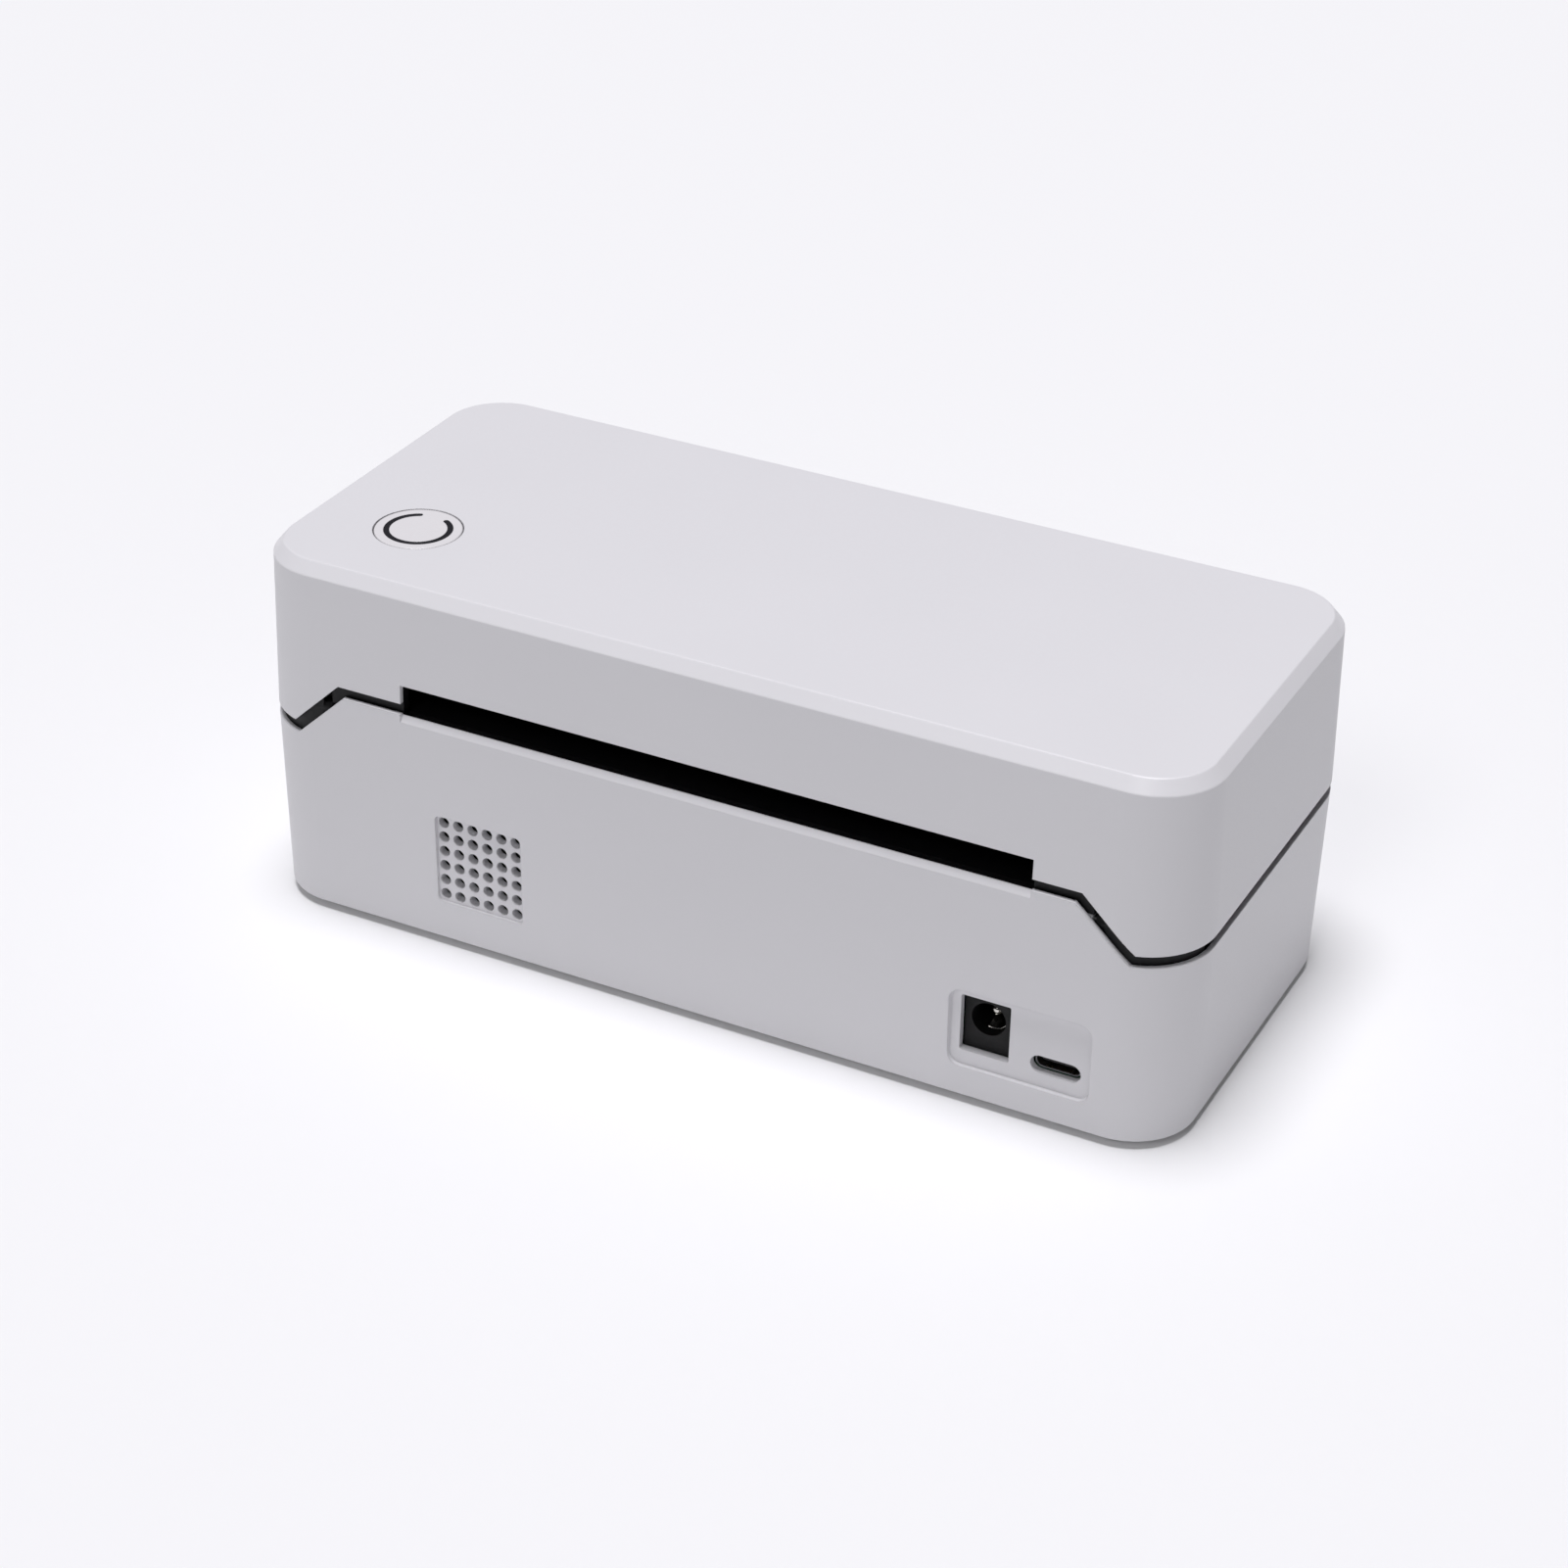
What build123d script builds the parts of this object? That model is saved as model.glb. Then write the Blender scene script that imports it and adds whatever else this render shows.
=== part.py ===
"""Desktop thermal label printer: a clamshell with a rear label inlet and a front tear-off outlet.

+X is the printer's right seen from the front, -Y the front, +Z up, millimetres.
The origin is at the middle of the footprint, on the plane the rubber feet stand on.
"""
from build123d import *
from math import acos, atan2, cos, degrees, hypot, pi, radians, sin, sqrt, tan
import os

os.makedirs("parts", exist_ok=True)

# ---- casing ----
LENGTH = 186.0          # over the side walls, just under the top chamfer
WIDTH = 81.4            # over the front and rear walls, just under the top chamfer
CORNER = 12.9           # vertical corner radius
FOOT = 1.5              # feet stand this far below the base shell
TOP = 73.5              # overall height
DRAFT = 1.15            # both shells widen towards the parting line, degrees
TOP_CHAMFER_Z = 2.4
TOP_CHAMFER_IN = 2.0
EDGE_ROUND = 0.4        # where the top chamfer meets the top and the walls
BOTTOM_ROUND = 0.6
WALL = 2.4
LIP = 0.95              # the walls thin to this lip beside the parting line
LIP_DEEP = 3.0
BASE_LENGTH = LENGTH - 0.5
BASE_WIDTH = WIDTH - 0.4
BASE_CORNER = CORNER - 0.4

# ---- stepped parting line, the same front and rear ----
BASE_LOW = 38.0         # base edge round the corners and along the short sides
BASE_HIGH = 47.9        # base edge across the middle
LID_LOW = 40.3
LID_HIGH = 50.0
BASE_STEP = (83.2, 72.8)    # x where the base edge leaves the low level, and reaches the high one
LID_STEP = (84.0, 73.9)

# ---- label path ----
PATH_X = -2.2           # the label path is a little left of the middle
INLET = 125.2           # width of the rear inlet slot
INLET_TOP = 53.8
OUTLET = 118.0
OUTLET_TOP = 52.6
LIP_BEVEL = (1.2, 1.6)  # depth and height of the bevel on the base edge under both slots
DECK_TOP = 47.2
DECK = 2.5

# ---- lid hinge ----
HINGE_Y = 38.4
HINGE_Z = 44.0
HINGE_PIN = 1.6
KNUCKLE = 3.6
LID_LUG = (76.2, 81.2)
BASE_LUG = (70.6, 75.6)

# ---- platen and gear train, axes along X ----
PLATEN_Y, PLATEN_Z = -27.0, 41.7
PLATEN_D = 13.0
PLATEN_LENGTH = 112.0
SHAFT_D = 6.0
MOTOR_Y, MOTOR_Z = 4.0, 23.0
MODULE = 0.6
PINION_TEETH, WHEEL_TEETH, IDLER_TEETH, PLATEN_TEETH = 16, 54, 20, 32
MESH_PLAY = 0.12        # added to each centre distance
PLATE_X = 71.0
PLATE = 1.2
SMALL_PLANE = (73.8, 79.4)  # faces of the platen gear and of the idler's small gear
WHEEL_PLANE = (81.0, 85.4)  # faces of the idler's wheel and of the motor pinion
CHEEK_LEFT = (-64.6, -61.6)
CHEEK_RIGHT = (57.2, 60.2)
BUSH_D = 9.0

# ---- label guides ----
GUIDE_Y = 17.5
GUIDE_GAP = 118.0       # between the guides at rest, wide open
GUIDE_TRAVEL = 36.0
RACK_MODULE = 0.8
RACK_PINION = 20
RACK_Z = (40.9, 43.9)
SENSOR_Y = 2.6          # label gap sensor, looking up through the deck

# ---- rear ports, grille and board ----
PORT_X, PORT_Z = -64.0, 15.65
JACK_X, JACK_Z = -57.2, 16.5
USB_X, USB_Z = -70.75, 12.45
GRILLE_X, GRILLE_Z = 44.9, 19.0
BOARD_TOP = 10.9
BOARD = 1.6

# ---- feed button in the lid's top ----
BUTTON_X, BUTTON_Y = 69.8, 18.6
BUTTON_D = 16.4
BUTTON_HOLE = 16.9

# ---- print head, hung in the lid ----
HEAD_FACE = PLATEN_Z + PLATEN_D / 2 + 0.3
HEAD_PIVOT_Y, HEAD_PIVOT_Z = -6.0, 59.5
POCKET_ROOF = 64.2

RUN = 0.04              # radial play of pins and shafts in their bores


def outline(grow, base=False):
    """Casing outline in plan at the current sketch plane, grown or shrunk all round."""
    long, wide, corner = (BASE_LENGTH, BASE_WIDTH, BASE_CORNER) if base else (LENGTH, WIDTH, CORNER)
    return RectangleRounded(long + 2 * grow, wide + 2 * grow, corner + grow)


def step_region(low, high, step, roof=95.0):
    """Front view of everything above the stepped line."""
    outer, inner = step
    return Polygon(
        (-110, low), (-outer, low), (-inner, high), (inner, high), (outer, low), (110, low),
        (110, roof), (-110, roof), align=None,
    )


def side_wall_grow(z, base):
    """How far the wall's draft has moved it out at height z."""
    return tan(radians(DRAFT)) * ((z - FOOT) if base else (TOP - TOP_CHAMFER_Z - z))


def drafted_block(inset, low, high, base):
    """Solid inside the drafted wall, inset from its outer face."""
    with BuildPart() as block:
        with BuildSketch(Plane.XY.offset(low)):
            outline(side_wall_grow(low, base) - inset, base)
        extrude(amount=high - low, taper=-DRAFT if base else DRAFT)
    return block.part


def bar(x, y, z):
    """Box between two corners, given as (low, high) pairs."""
    with BuildPart() as box:
        with BuildSketch(Plane.XY.offset(z[0])):
            with Locations(((x[0] + x[1]) / 2, (y[0] + y[1]) / 2)):
                Rectangle(x[1] - x[0], y[1] - y[0])
        extrude(amount=z[1] - z[0])
    return box.part


def rod_x(x, y, z, diameter):
    """Cylinder along X between two x values."""
    with BuildPart() as rod:
        with BuildSketch(Plane.YZ.offset(x[0])):
            with Locations((y, z)):
                Circle(diameter / 2)
        extrude(amount=x[1] - x[0])
    return rod.part


def rod_z(x, y, z, diameter):
    """Cylinder along Z between two z values."""
    with BuildPart() as rod:
        with BuildSketch(Plane.XY.offset(z[0])):
            with Locations((x, y)):
                Circle(diameter / 2)
        extrude(amount=z[1] - z[0])
    return rod.part


def gear_face(teeth, module, turn, slack=0.2):
    """Involute gear profile with a tooth centred at the angle turn, in degrees."""
    pitch = module * teeth / 2
    base = pitch * cos(radians(20))
    tip = pitch + 0.92 * module
    root = pitch - 1.2 * module
    start = max(base, root + 0.05)
    half = pi / (2 * teeth) - slack / (2 * pitch)
    roll = tan(radians(20)) - radians(20)
    flank = []
    for step in range(4):
        radius = start + (tip - start) * step / 3
        turned = acos(min(1.0, base / radius))
        flank.append((radius, half + roll - (tan(turned) - turned)))
    points = []
    for tooth in range(teeth):
        middle = radians(turn) + 2 * pi * tooth / teeth
        rise = [(root, flank[0][1])] + flank
        for radius, away in [(r, -a) for r, a in rise] + [(r, a) for r, a in reversed(rise)]:
            points.append((radius * cos(middle + away), radius * sin(middle + away)))
    return Polygon(*points, align=None)


def finish(piece, name):
    """Name a finished piece and write it."""
    piece.label = name
    export_step(piece, f"parts/{name}.step")


# ---- base shell: white ABS tub with ports, grille, bosses and hinge lugs ----
with BuildPart() as base_lip_room:
    add(drafted_block(LIP, FOOT, 60, True))
    with BuildSketch(Plane.XZ):
        step_region(BASE_LOW - LIP_DEEP, BASE_HIGH - LIP_DEEP, BASE_STEP)
    extrude(amount=60, both=True, mode=Mode.INTERSECT)

FLOOR = 2.2
BOARD_POSTS = [(-77, 8), (-77.6, 24), (20, 8), (20, 31)]
FRAME_POSTS = [(-85, -17), (-86, 8), (62, 30), (30, -36.4), (-34, -36.4)]
LATCH_X = (-69.0, 65.6)
LATCH_Y, LATCH_Z = -34.0, 43.4
BASE_FEET = [(-76, -29), (-76, 29), (76, -29), (76, 29)]

with BuildPart() as base_shell:
    with BuildSketch(Plane.XY.offset(FOOT)):
        outline(0, True)
    extrude(amount=52 - FOOT, taper=-DRAFT)
    fillet(base_shell.edges().group_by(Axis.Z)[0], BOTTOM_ROUND)
    add(drafted_block(WALL, FOOT + FLOOR, 53, True), mode=Mode.SUBTRACT)
    with Locations(*[(x, y, FOOT + FLOOR) for x, y in BOARD_POSTS]):
        Cylinder(3.2, BOARD_TOP - BOARD - FOOT - FLOOR, align=(Align.CENTER, Align.CENTER, Align.MIN))
    with Locations(*[(x, y, FOOT + FLOOR) for x, y in FRAME_POSTS]):
        Cylinder(2.4, DECK_TOP - DECK - FOOT - FLOOR, align=(Align.CENTER, Align.CENTER, Align.MIN))
    for x in LATCH_X:
        add(bar((x - 3, x + 3), (LATCH_Y - 2.4, LATCH_Y + 2.4), (FOOT + FLOOR, LATCH_Z - 2.1)))
    add(base_lip_room.part, mode=Mode.SUBTRACT)
    for side in (-1, 1):
        x = sorted((side * BASE_LUG[0], side * BASE_LUG[1]))
        with BuildSketch(Plane.YZ.offset(x[0])):
            Polygon((HINGE_Y - 1.9, HINGE_Z + 1.7), (HINGE_Y + 1.7, HINGE_Z + 1.7), (HINGE_Y + 1.7, 34),
                    (HINGE_Y + 0.6, 30), (HINGE_Y - 1.9, 36), align=None)
        extrude(amount=x[1] - x[0])
        add(rod_x((x[0] - 1, x[1] + 1), HINGE_Y, HINGE_Z, HINGE_PIN + 2 * RUN), mode=Mode.SUBTRACT)
    with BuildSketch(Plane.XZ):
        step_region(BASE_LOW, BASE_HIGH, BASE_STEP)
    extrude(amount=60, both=True, mode=Mode.SUBTRACT)
    for side, wide in ((1, INLET), (-1, OUTLET)):
        face = BASE_WIDTH / 2 + side_wall_grow(BASE_HIGH, True)
        with BuildSketch(Plane.YZ.offset(PATH_X - wide / 2)):
            Polygon((side * (face - LIP_BEVEL[0]), BASE_HIGH + 0.1), (side * (face + 2), BASE_HIGH + 0.1),
                    (side * (face + 2), BASE_HIGH - LIP_BEVEL[1]), (side * face, BASE_HIGH - LIP_BEVEL[1]),
                    align=None)
        extrude(amount=wide, mode=Mode.SUBTRACT)
    # port recess, jack and USB openings
    port_face = BASE_WIDTH / 2 + side_wall_grow(PORT_Z, True)
    with BuildSketch(Plane.XZ.offset(-(port_face - 0.95))):
        with Locations((PORT_X, PORT_Z)):
            RectangleRounded(26.5, 15.7, 2.2)
    extrude(amount=-3, taper=-12, mode=Mode.SUBTRACT)
    with BuildSketch(Plane.XZ.offset(-(port_face + 1))):
        with Locations((JACK_X, JACK_Z)):
            RectangleRounded(9.4, 11.45, 0.35)
        with Locations((USB_X, USB_Z)):
            SlotOverall(9.5, 3.5)
    extrude(amount=6, mode=Mode.SUBTRACT)
    # speaker grille
    grille_face = BASE_WIDTH / 2 + side_wall_grow(GRILLE_Z, True)
    with BuildSketch(Plane.XZ.offset(-(grille_face - 0.7))):
        with Locations((GRILLE_X, GRILLE_Z)):
            RectangleRounded(18.2, 18.6, 1.0)
    extrude(amount=-3, mode=Mode.SUBTRACT)
    with BuildSketch(Plane.XZ.offset(-(grille_face + 1))):
        with Locations((GRILLE_X, GRILLE_Z)):
            with GridLocations(3.08, 3.08, 6, 6):
                Circle(1.1)
    extrude(amount=6, mode=Mode.SUBTRACT)
    with Locations(*[(x, y, FOOT) for x, y in BASE_FEET]):
        Cylinder(6.1, 0.8, align=(Align.CENTER, Align.CENTER, Align.MIN), mode=Mode.SUBTRACT)
    # screw bores up through the floor into the frame posts, and down into the board posts
    with Locations(*[(x, y, FOOT) for x, y in FRAME_POSTS]):
        Cylinder(0.9, 60, align=(Align.CENTER, Align.CENTER, Align.MIN), mode=Mode.SUBTRACT)
        Cylinder(1.7, 32, align=(Align.CENTER, Align.CENTER, Align.MIN), mode=Mode.SUBTRACT)
    with Locations(*[(x, y, FOOT + FLOOR + 0.5) for x, y in BOARD_POSTS]):
        Cylinder(1.0, 20, align=(Align.CENTER, Align.CENTER, Align.MIN), mode=Mode.SUBTRACT)

finish(base_shell.part, "base_shell")

# ---- hinge pins: two steel pins on one axis ----
with BuildPart() as hinge_pins:
    for side in (-1, 1):
        x = sorted((side * (BASE_LUG[0] + 0.2), side * (LID_LUG[1] - 0.3)))
        add(rod_x(x, HINGE_Y, HINGE_Z, HINGE_PIN))

finish(hinge_pins.part, "hinge_pins")

# ---- base frame: black ABS deck, its rim behind the parting gap, bearing cheeks and wells ----
RIM_OUT = LIP + 0.12
RIM_IN = 3.2
RIM_RISE = 2.6          # the rim stands this far above the lid's edge, inside the lid
DECK_IN = 3.0
SKIRT = 1.4
EAR_X, EAR_Y = 75.9, 27.0   # the hinge ears of the lid swing behind this corner
WELL_FLOOR = 32.0
GEAR_WELL = ((70.6, 88.6), (-38.0, 9.0))
ROLLER_SLOT = (PLATEN_Y - 7.0, PLATEN_Y + 7.0)
LEFT_POST_X = PATH_X - GUIDE_GAP / 2 - 2.0
RIGHT_POST_X = PATH_X + GUIDE_GAP / 2 + 2.0
inlet_x = (PATH_X - INLET / 2, PATH_X + INLET / 2)
outlet_x = (PATH_X - OUTLET / 2, PATH_X + OUTLET / 2)

with BuildPart() as frame_skirt:
    add(drafted_block(DECK_IN, BASE_LOW - 2, DECK_TOP, True))
    add(drafted_block(DECK_IN + SKIRT, BASE_LOW - 3, DECK_TOP + 1, True), mode=Mode.SUBTRACT)
    add(bar((-71, 71), (-50, 50), (30, 50)), mode=Mode.SUBTRACT)

with BuildPart() as base_frame:
    add(drafted_block(RIM_OUT, BASE_LOW - LIP_DEEP + 0.1, 60, True))
    add(drafted_block(RIM_OUT, BASE_LOW - LIP_DEEP, 60, False), mode=Mode.INTERSECT)
    add(drafted_block(RIM_IN, BASE_LOW - LIP_DEEP - 1, 61, True), mode=Mode.SUBTRACT)
    with BuildSketch(Plane.XZ):
        step_region(BASE_LOW - LIP_DEEP + 0.1, BASE_HIGH - LIP_DEEP + 0.1, BASE_STEP)
    extrude(amount=60, both=True, mode=Mode.INTERSECT)
    with BuildSketch(Plane.XZ):
        step_region(LID_LOW + RIM_RISE, LID_HIGH + RIM_RISE, LID_STEP)
    extrude(amount=60, both=True, mode=Mode.SUBTRACT)
    add(bar(inlet_x, (30, 45), (30, 70)), mode=Mode.SUBTRACT)
    add(bar(outlet_x, (-45, -30), (30, 70)), mode=Mode.SUBTRACT)
    add(frame_skirt.part)
    add(drafted_block(DECK_IN, DECK_TOP - DECK, DECK_TOP, True))
    # wells that leave the hinge ears free, closed by a floor and inner walls
    for side in (-1, 1):
        add(bar(sorted((side * 69.6, side * 95)), (EAR_Y, 45), (30, HINGE_Z + 1.8)), mode=Mode.SUBTRACT)
        add(bar(sorted((side * EAR_X, side * 95)), (EAR_Y, 45), (30, 70)), mode=Mode.SUBTRACT)
        floor_x = sorted((side * 68.2, side * 86.0))
        add(bar(floor_x, (EAR_Y - 1.4, 34.4), (WELL_FLOOR, WELL_FLOOR + 1.2)))
        add(bar(floor_x, (EAR_Y - 1.4, EAR_Y), (WELL_FLOOR, DECK_TOP)))
        add(bar(sorted((side * 68.2, side * 69.6)), (EAR_Y - 1.4, 37.8), (WELL_FLOOR, DECK_TOP)))
    add(bar(*GEAR_WELL, (30, 60)), mode=Mode.SUBTRACT)
    add(bar((CHEEK_LEFT[1], CHEEK_RIGHT[0]), ROLLER_SLOT, (30, 60)), mode=Mode.SUBTRACT)
    for cheek in (CHEEK_LEFT, CHEEK_RIGHT):
        with BuildSketch(Plane.YZ.offset(cheek[0])):
            Polygon((-20, DECK_TOP - 1), (-20, 38), (-23, 34), (-31, 34), (-34, 38), (-34, DECK_TOP - 1),
                    align=None)
        extrude(amount=cheek[1] - cheek[0])
        add(rod_x((cheek[0] - 1, cheek[1] + 1), PLATEN_Y, PLATEN_Z, BUSH_D + 2 * RUN), mode=Mode.SUBTRACT)
    # guide slots, sensor window and latch windows
    for start, end in ((LEFT_POST_X - 3, LEFT_POST_X + GUIDE_TRAVEL + 3),
                       (RIGHT_POST_X - GUIDE_TRAVEL - 3, RIGHT_POST_X + 3)):
        add(bar((start, end), (GUIDE_Y - 1.9, GUIDE_Y + 1.9), (40, 50)), mode=Mode.SUBTRACT)
    add(bar((PATH_X - 4.1, PATH_X + 4.1), (SENSOR_Y - 2.3, SENSOR_Y + 2.3), (40, 50)), mode=Mode.SUBTRACT)
    for x in LATCH_X:
        add(bar((x - 3.2, x + 3.2), (LATCH_Y - 3.0, LATCH_Y + 3.0), (40, 50)), mode=Mode.SUBTRACT)
    # ribs that carry the label over the deck
    for step in range(7):
        x = PATH_X - 45 + 15 * step
        if abs(x - PATH_X) > 5:
            add(bar((x - 0.6, x + 0.6), (-18.5, 3.0), (DECK_TOP - 0.2, DECK_TOP + 0.5)))
    # stud that the guide pinion turns on
    add(rod_z(PATH_X, GUIDE_Y, (RACK_Z[0] - 0.4, DECK_TOP - 1), 5.0))
    add(rod_z(PATH_X, GUIDE_Y, (RACK_Z[0] - 2, DECK_TOP - 2.5), 2.1), mode=Mode.SUBTRACT)
    with Locations(*[(x, y, DECK_TOP - DECK - 1) for x, y in FRAME_POSTS]):
        Cylinder(1.0, 3, align=(Align.CENTER, Align.CENTER, Align.MIN), mode=Mode.SUBTRACT)

finish(base_frame.part, "base_frame")

# ---- platen: rubber roller on a steel shaft in two bushes ----
with BuildPart() as platen_shaft:
    add(rod_x((CHEEK_LEFT[0] - 2.4, WHEEL_PLANE[0] - 0.6), PLATEN_Y, PLATEN_Z, SHAFT_D))
    chamfer(platen_shaft.edges().filter_by(GeomType.CIRCLE), 0.4)

finish(platen_shaft.part, "platen_shaft")

with BuildPart() as platen_rubber:
    add(rod_x((PATH_X - PLATEN_LENGTH / 2, PATH_X + PLATEN_LENGTH / 2), PLATEN_Y, PLATEN_Z, PLATEN_D))
    chamfer(platen_rubber.edges().filter_by(GeomType.CIRCLE), 0.3)
    add(rod_x((-70, 70), PLATEN_Y, PLATEN_Z, SHAFT_D), mode=Mode.SUBTRACT)

finish(platen_rubber.part, "platen_rubber")

with BuildPart() as platen_bushes:
    for cheek, flange in ((CHEEK_LEFT, (CHEEK_LEFT[1], CHEEK_LEFT[1] + 0.8)),
                          (CHEEK_RIGHT, (CHEEK_RIGHT[0] - 0.8, CHEEK_RIGHT[0]))):
        add(rod_x(cheek, PLATEN_Y, PLATEN_Z, BUSH_D))
        add(rod_x(flange, PLATEN_Y, PLATEN_Z, BUSH_D + 2.4))
    add(rod_x((-70, 70), PLATEN_Y, PLATEN_Z, SHAFT_D + 2 * RUN), mode=Mode.SUBTRACT)

finish(platen_bushes.part, "platen_bushes")

# ---- gear train: motor pinion, two-step idler, platen gear ----
first_span = MODULE * (PINION_TEETH + WHEEL_TEETH) / 2 + MESH_PLAY
second_span = MODULE * (IDLER_TEETH + PLATEN_TEETH) / 2 + MESH_PLAY
apart = hypot(PLATEN_Y - MOTOR_Y, PLATEN_Z - MOTOR_Z)
along = (first_span ** 2 - second_span ** 2 + apart ** 2) / (2 * apart)
aside = sqrt(first_span ** 2 - along ** 2)
way_y, way_z = (PLATEN_Y - MOTOR_Y) / apart, (PLATEN_Z - MOTOR_Z) / apart
IDLER_Y = MOTOR_Y + along * way_y - aside * way_z
IDLER_Z = MOTOR_Z + along * way_z + aside * way_y


def meshed_turn(near, far, near_turn, near_teeth, far_teeth):
    """Turn of a gear that puts its gap on the near gear's tooth, on their line of centres."""
    line = atan2(far[1] - near[1], far[0] - near[0])
    near_phase = (line - radians(near_turn)) * near_teeth / (2 * pi)
    return degrees(line + pi - (0.5 - near_phase) * 2 * pi / far_teeth)


IDLER_SPOT, MOTOR_SPOT, PLATEN_SPOT = (IDLER_Y, IDLER_Z), (MOTOR_Y, MOTOR_Z), (PLATEN_Y, PLATEN_Z)
small_turn = meshed_turn(PLATEN_SPOT, IDLER_SPOT, 0, PLATEN_TEETH, IDLER_TEETH)
pinion_turn = meshed_turn(IDLER_SPOT, MOTOR_SPOT, 0, WHEEL_TEETH, PINION_TEETH)

with BuildPart() as platen_gear:
    with BuildSketch(Plane.YZ.offset(SMALL_PLANE[0])):
        with Locations(PLATEN_SPOT):
            gear_face(PLATEN_TEETH, MODULE, 0)
    extrude(amount=SMALL_PLANE[1] - SMALL_PLANE[0])
    with BuildSketch(Plane.YZ.offset(SMALL_PLANE[0] + 1.6)):
        with Locations(PLATEN_SPOT):
            Circle(7.6)
            Circle(4.8, mode=Mode.SUBTRACT)
    extrude(amount=6, mode=Mode.SUBTRACT)
    add(rod_x((60, 90), PLATEN_Y, PLATEN_Z, SHAFT_D), mode=Mode.SUBTRACT)

finish(platen_gear.part, "platen_gear")

with BuildPart() as idler_gear:
    with BuildSketch(Plane.YZ.offset(SMALL_PLANE[0])):
        with Locations(IDLER_SPOT):
            gear_face(IDLER_TEETH, MODULE, small_turn)
    extrude(amount=SMALL_PLANE[1] - SMALL_PLANE[0])
    add(rod_x((SMALL_PLANE[1], WHEEL_PLANE[0]), IDLER_Y, IDLER_Z, 9.2))
    with BuildSketch(Plane.YZ.offset(WHEEL_PLANE[0])):
        with Locations(IDLER_SPOT):
            gear_face(WHEEL_TEETH, MODULE, 0)
    extrude(amount=WHEEL_PLANE[1] - WHEEL_PLANE[0])
    with BuildSketch(Plane.YZ.offset(WHEEL_PLANE[0] + 1.8)):
        with Locations(IDLER_SPOT):
            Circle(13.6)
            Circle(4.6, mode=Mode.SUBTRACT)
    extrude(amount=6, mode=Mode.SUBTRACT)
    with BuildSketch(Plane.YZ.offset(WHEEL_PLANE[0] - 1)):
        with Locations(IDLER_SPOT):
            with PolarLocations(9.2, 5):
                Circle(2.4)
    extrude(amount=6, mode=Mode.SUBTRACT)
    add(rod_x((60, 90), IDLER_Y, IDLER_Z, 4 + 2 * RUN), mode=Mode.SUBTRACT)

finish(idler_gear.part, "idler_gear")

with BuildPart() as motor_pinion:
    with BuildSketch(Plane.YZ.offset(WHEEL_PLANE[0] - 0.4)):
        with Locations(MOTOR_SPOT):
            gear_face(PINION_TEETH, MODULE, pinion_turn)
    extrude(amount=WHEEL_PLANE[1] - WHEEL_PLANE[0] + 0.8)
    add(rod_x((WHEEL_PLANE[0] - 4.5, WHEEL_PLANE[0] - 0.4), MOTOR_Y, MOTOR_Z, 8.0))
    add(rod_x((60, 90), MOTOR_Y, MOTOR_Z, 5.0), mode=Mode.SUBTRACT)

finish(motor_pinion.part, "motor_pinion")

# ---- steel gear plate with a foot, and the idler's stud ----
MOTOR_SIDE = 35.0
with BuildPart() as gear_plate:
    with BuildSketch(Plane.YZ.offset(PLATE_X)):
        Polygon((-35, 46), (-35, 33), (-18, FOOT + FLOOR), (24, FOOT + FLOOR), (24, 42), (-6, 42), (-14, 46),
                align=None)
        with Locations(PLATEN_SPOT):
            Circle(4.4, mode=Mode.SUBTRACT)
        with Locations(MOTOR_SPOT):
            Circle(11.1, mode=Mode.SUBTRACT)
            with GridLocations(26, 26, 2, 2):
                Circle(1.6, mode=Mode.SUBTRACT)
    extrude(amount=PLATE)
    add(bar((PLATE_X + PLATE, PLATE_X + 12), (-12, 20), (FOOT + FLOOR, FOOT + FLOOR + PLATE)))
    with Locations((PLATE_X + 7, -6, 0), (PLATE_X + 7, 14, 0)):
        Cylinder(1.7, 20, mode=Mode.SUBTRACT)
    add(rod_x((PLATE_X - 1, PLATE_X + 3), IDLER_Y, IDLER_Z, 4.0), mode=Mode.SUBTRACT)

finish(gear_plate.part, "gear_plate")

with BuildPart() as idler_stud:
    add(rod_x((PLATE_X, WHEEL_PLANE[1] + 1.6), IDLER_Y, IDLER_Z, 4.0))
    add(rod_x((PLATE_X + PLATE, SMALL_PLANE[0] - 0.4), IDLER_Y, IDLER_Z, 6.0))
    add(rod_x((WHEEL_PLANE[1] + 0.3, WHEEL_PLANE[1] + 0.9), IDLER_Y, IDLER_Z, 7.0))

finish(idler_stud.part, "idler_stud")

# ---- stepper motor: two steel caps round a laminated body, shaft and screws ----
MOTOR_BACK = PLATE_X - 26.0
with BuildPart() as motor_body:
    with BuildSketch(Plane.YZ.offset(MOTOR_BACK)):
        with Locations(MOTOR_SPOT):
            RectangleRounded(MOTOR_SIDE, MOTOR_SIDE, 5)
    extrude(amount=26)
    with BuildSketch(Plane.YZ.offset(MOTOR_BACK + 7)):
        with Locations(MOTOR_SPOT):
            RectangleRounded(MOTOR_SIDE + 2, MOTOR_SIDE + 2, 5)
            RectangleRounded(MOTOR_SIDE - 1, MOTOR_SIDE - 1, 7, mode=Mode.SUBTRACT)
    extrude(amount=12, mode=Mode.SUBTRACT)
    add(rod_x((PLATE_X, PLATE_X + PLATE + 0.6), MOTOR_Y, MOTOR_Z, 22.0))
    add(rod_x((MOTOR_BACK - 1, PLATE_X + 4), MOTOR_Y, MOTOR_Z, 5.4), mode=Mode.SUBTRACT)
    with BuildSketch(Plane.YZ.offset(PLATE_X)):
        with Locations(MOTOR_SPOT):
            with GridLocations(26, 26, 2, 2):
                Circle(1.25)
    extrude(amount=-6, mode=Mode.SUBTRACT)

finish(motor_body.part, "motor_body")

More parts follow.
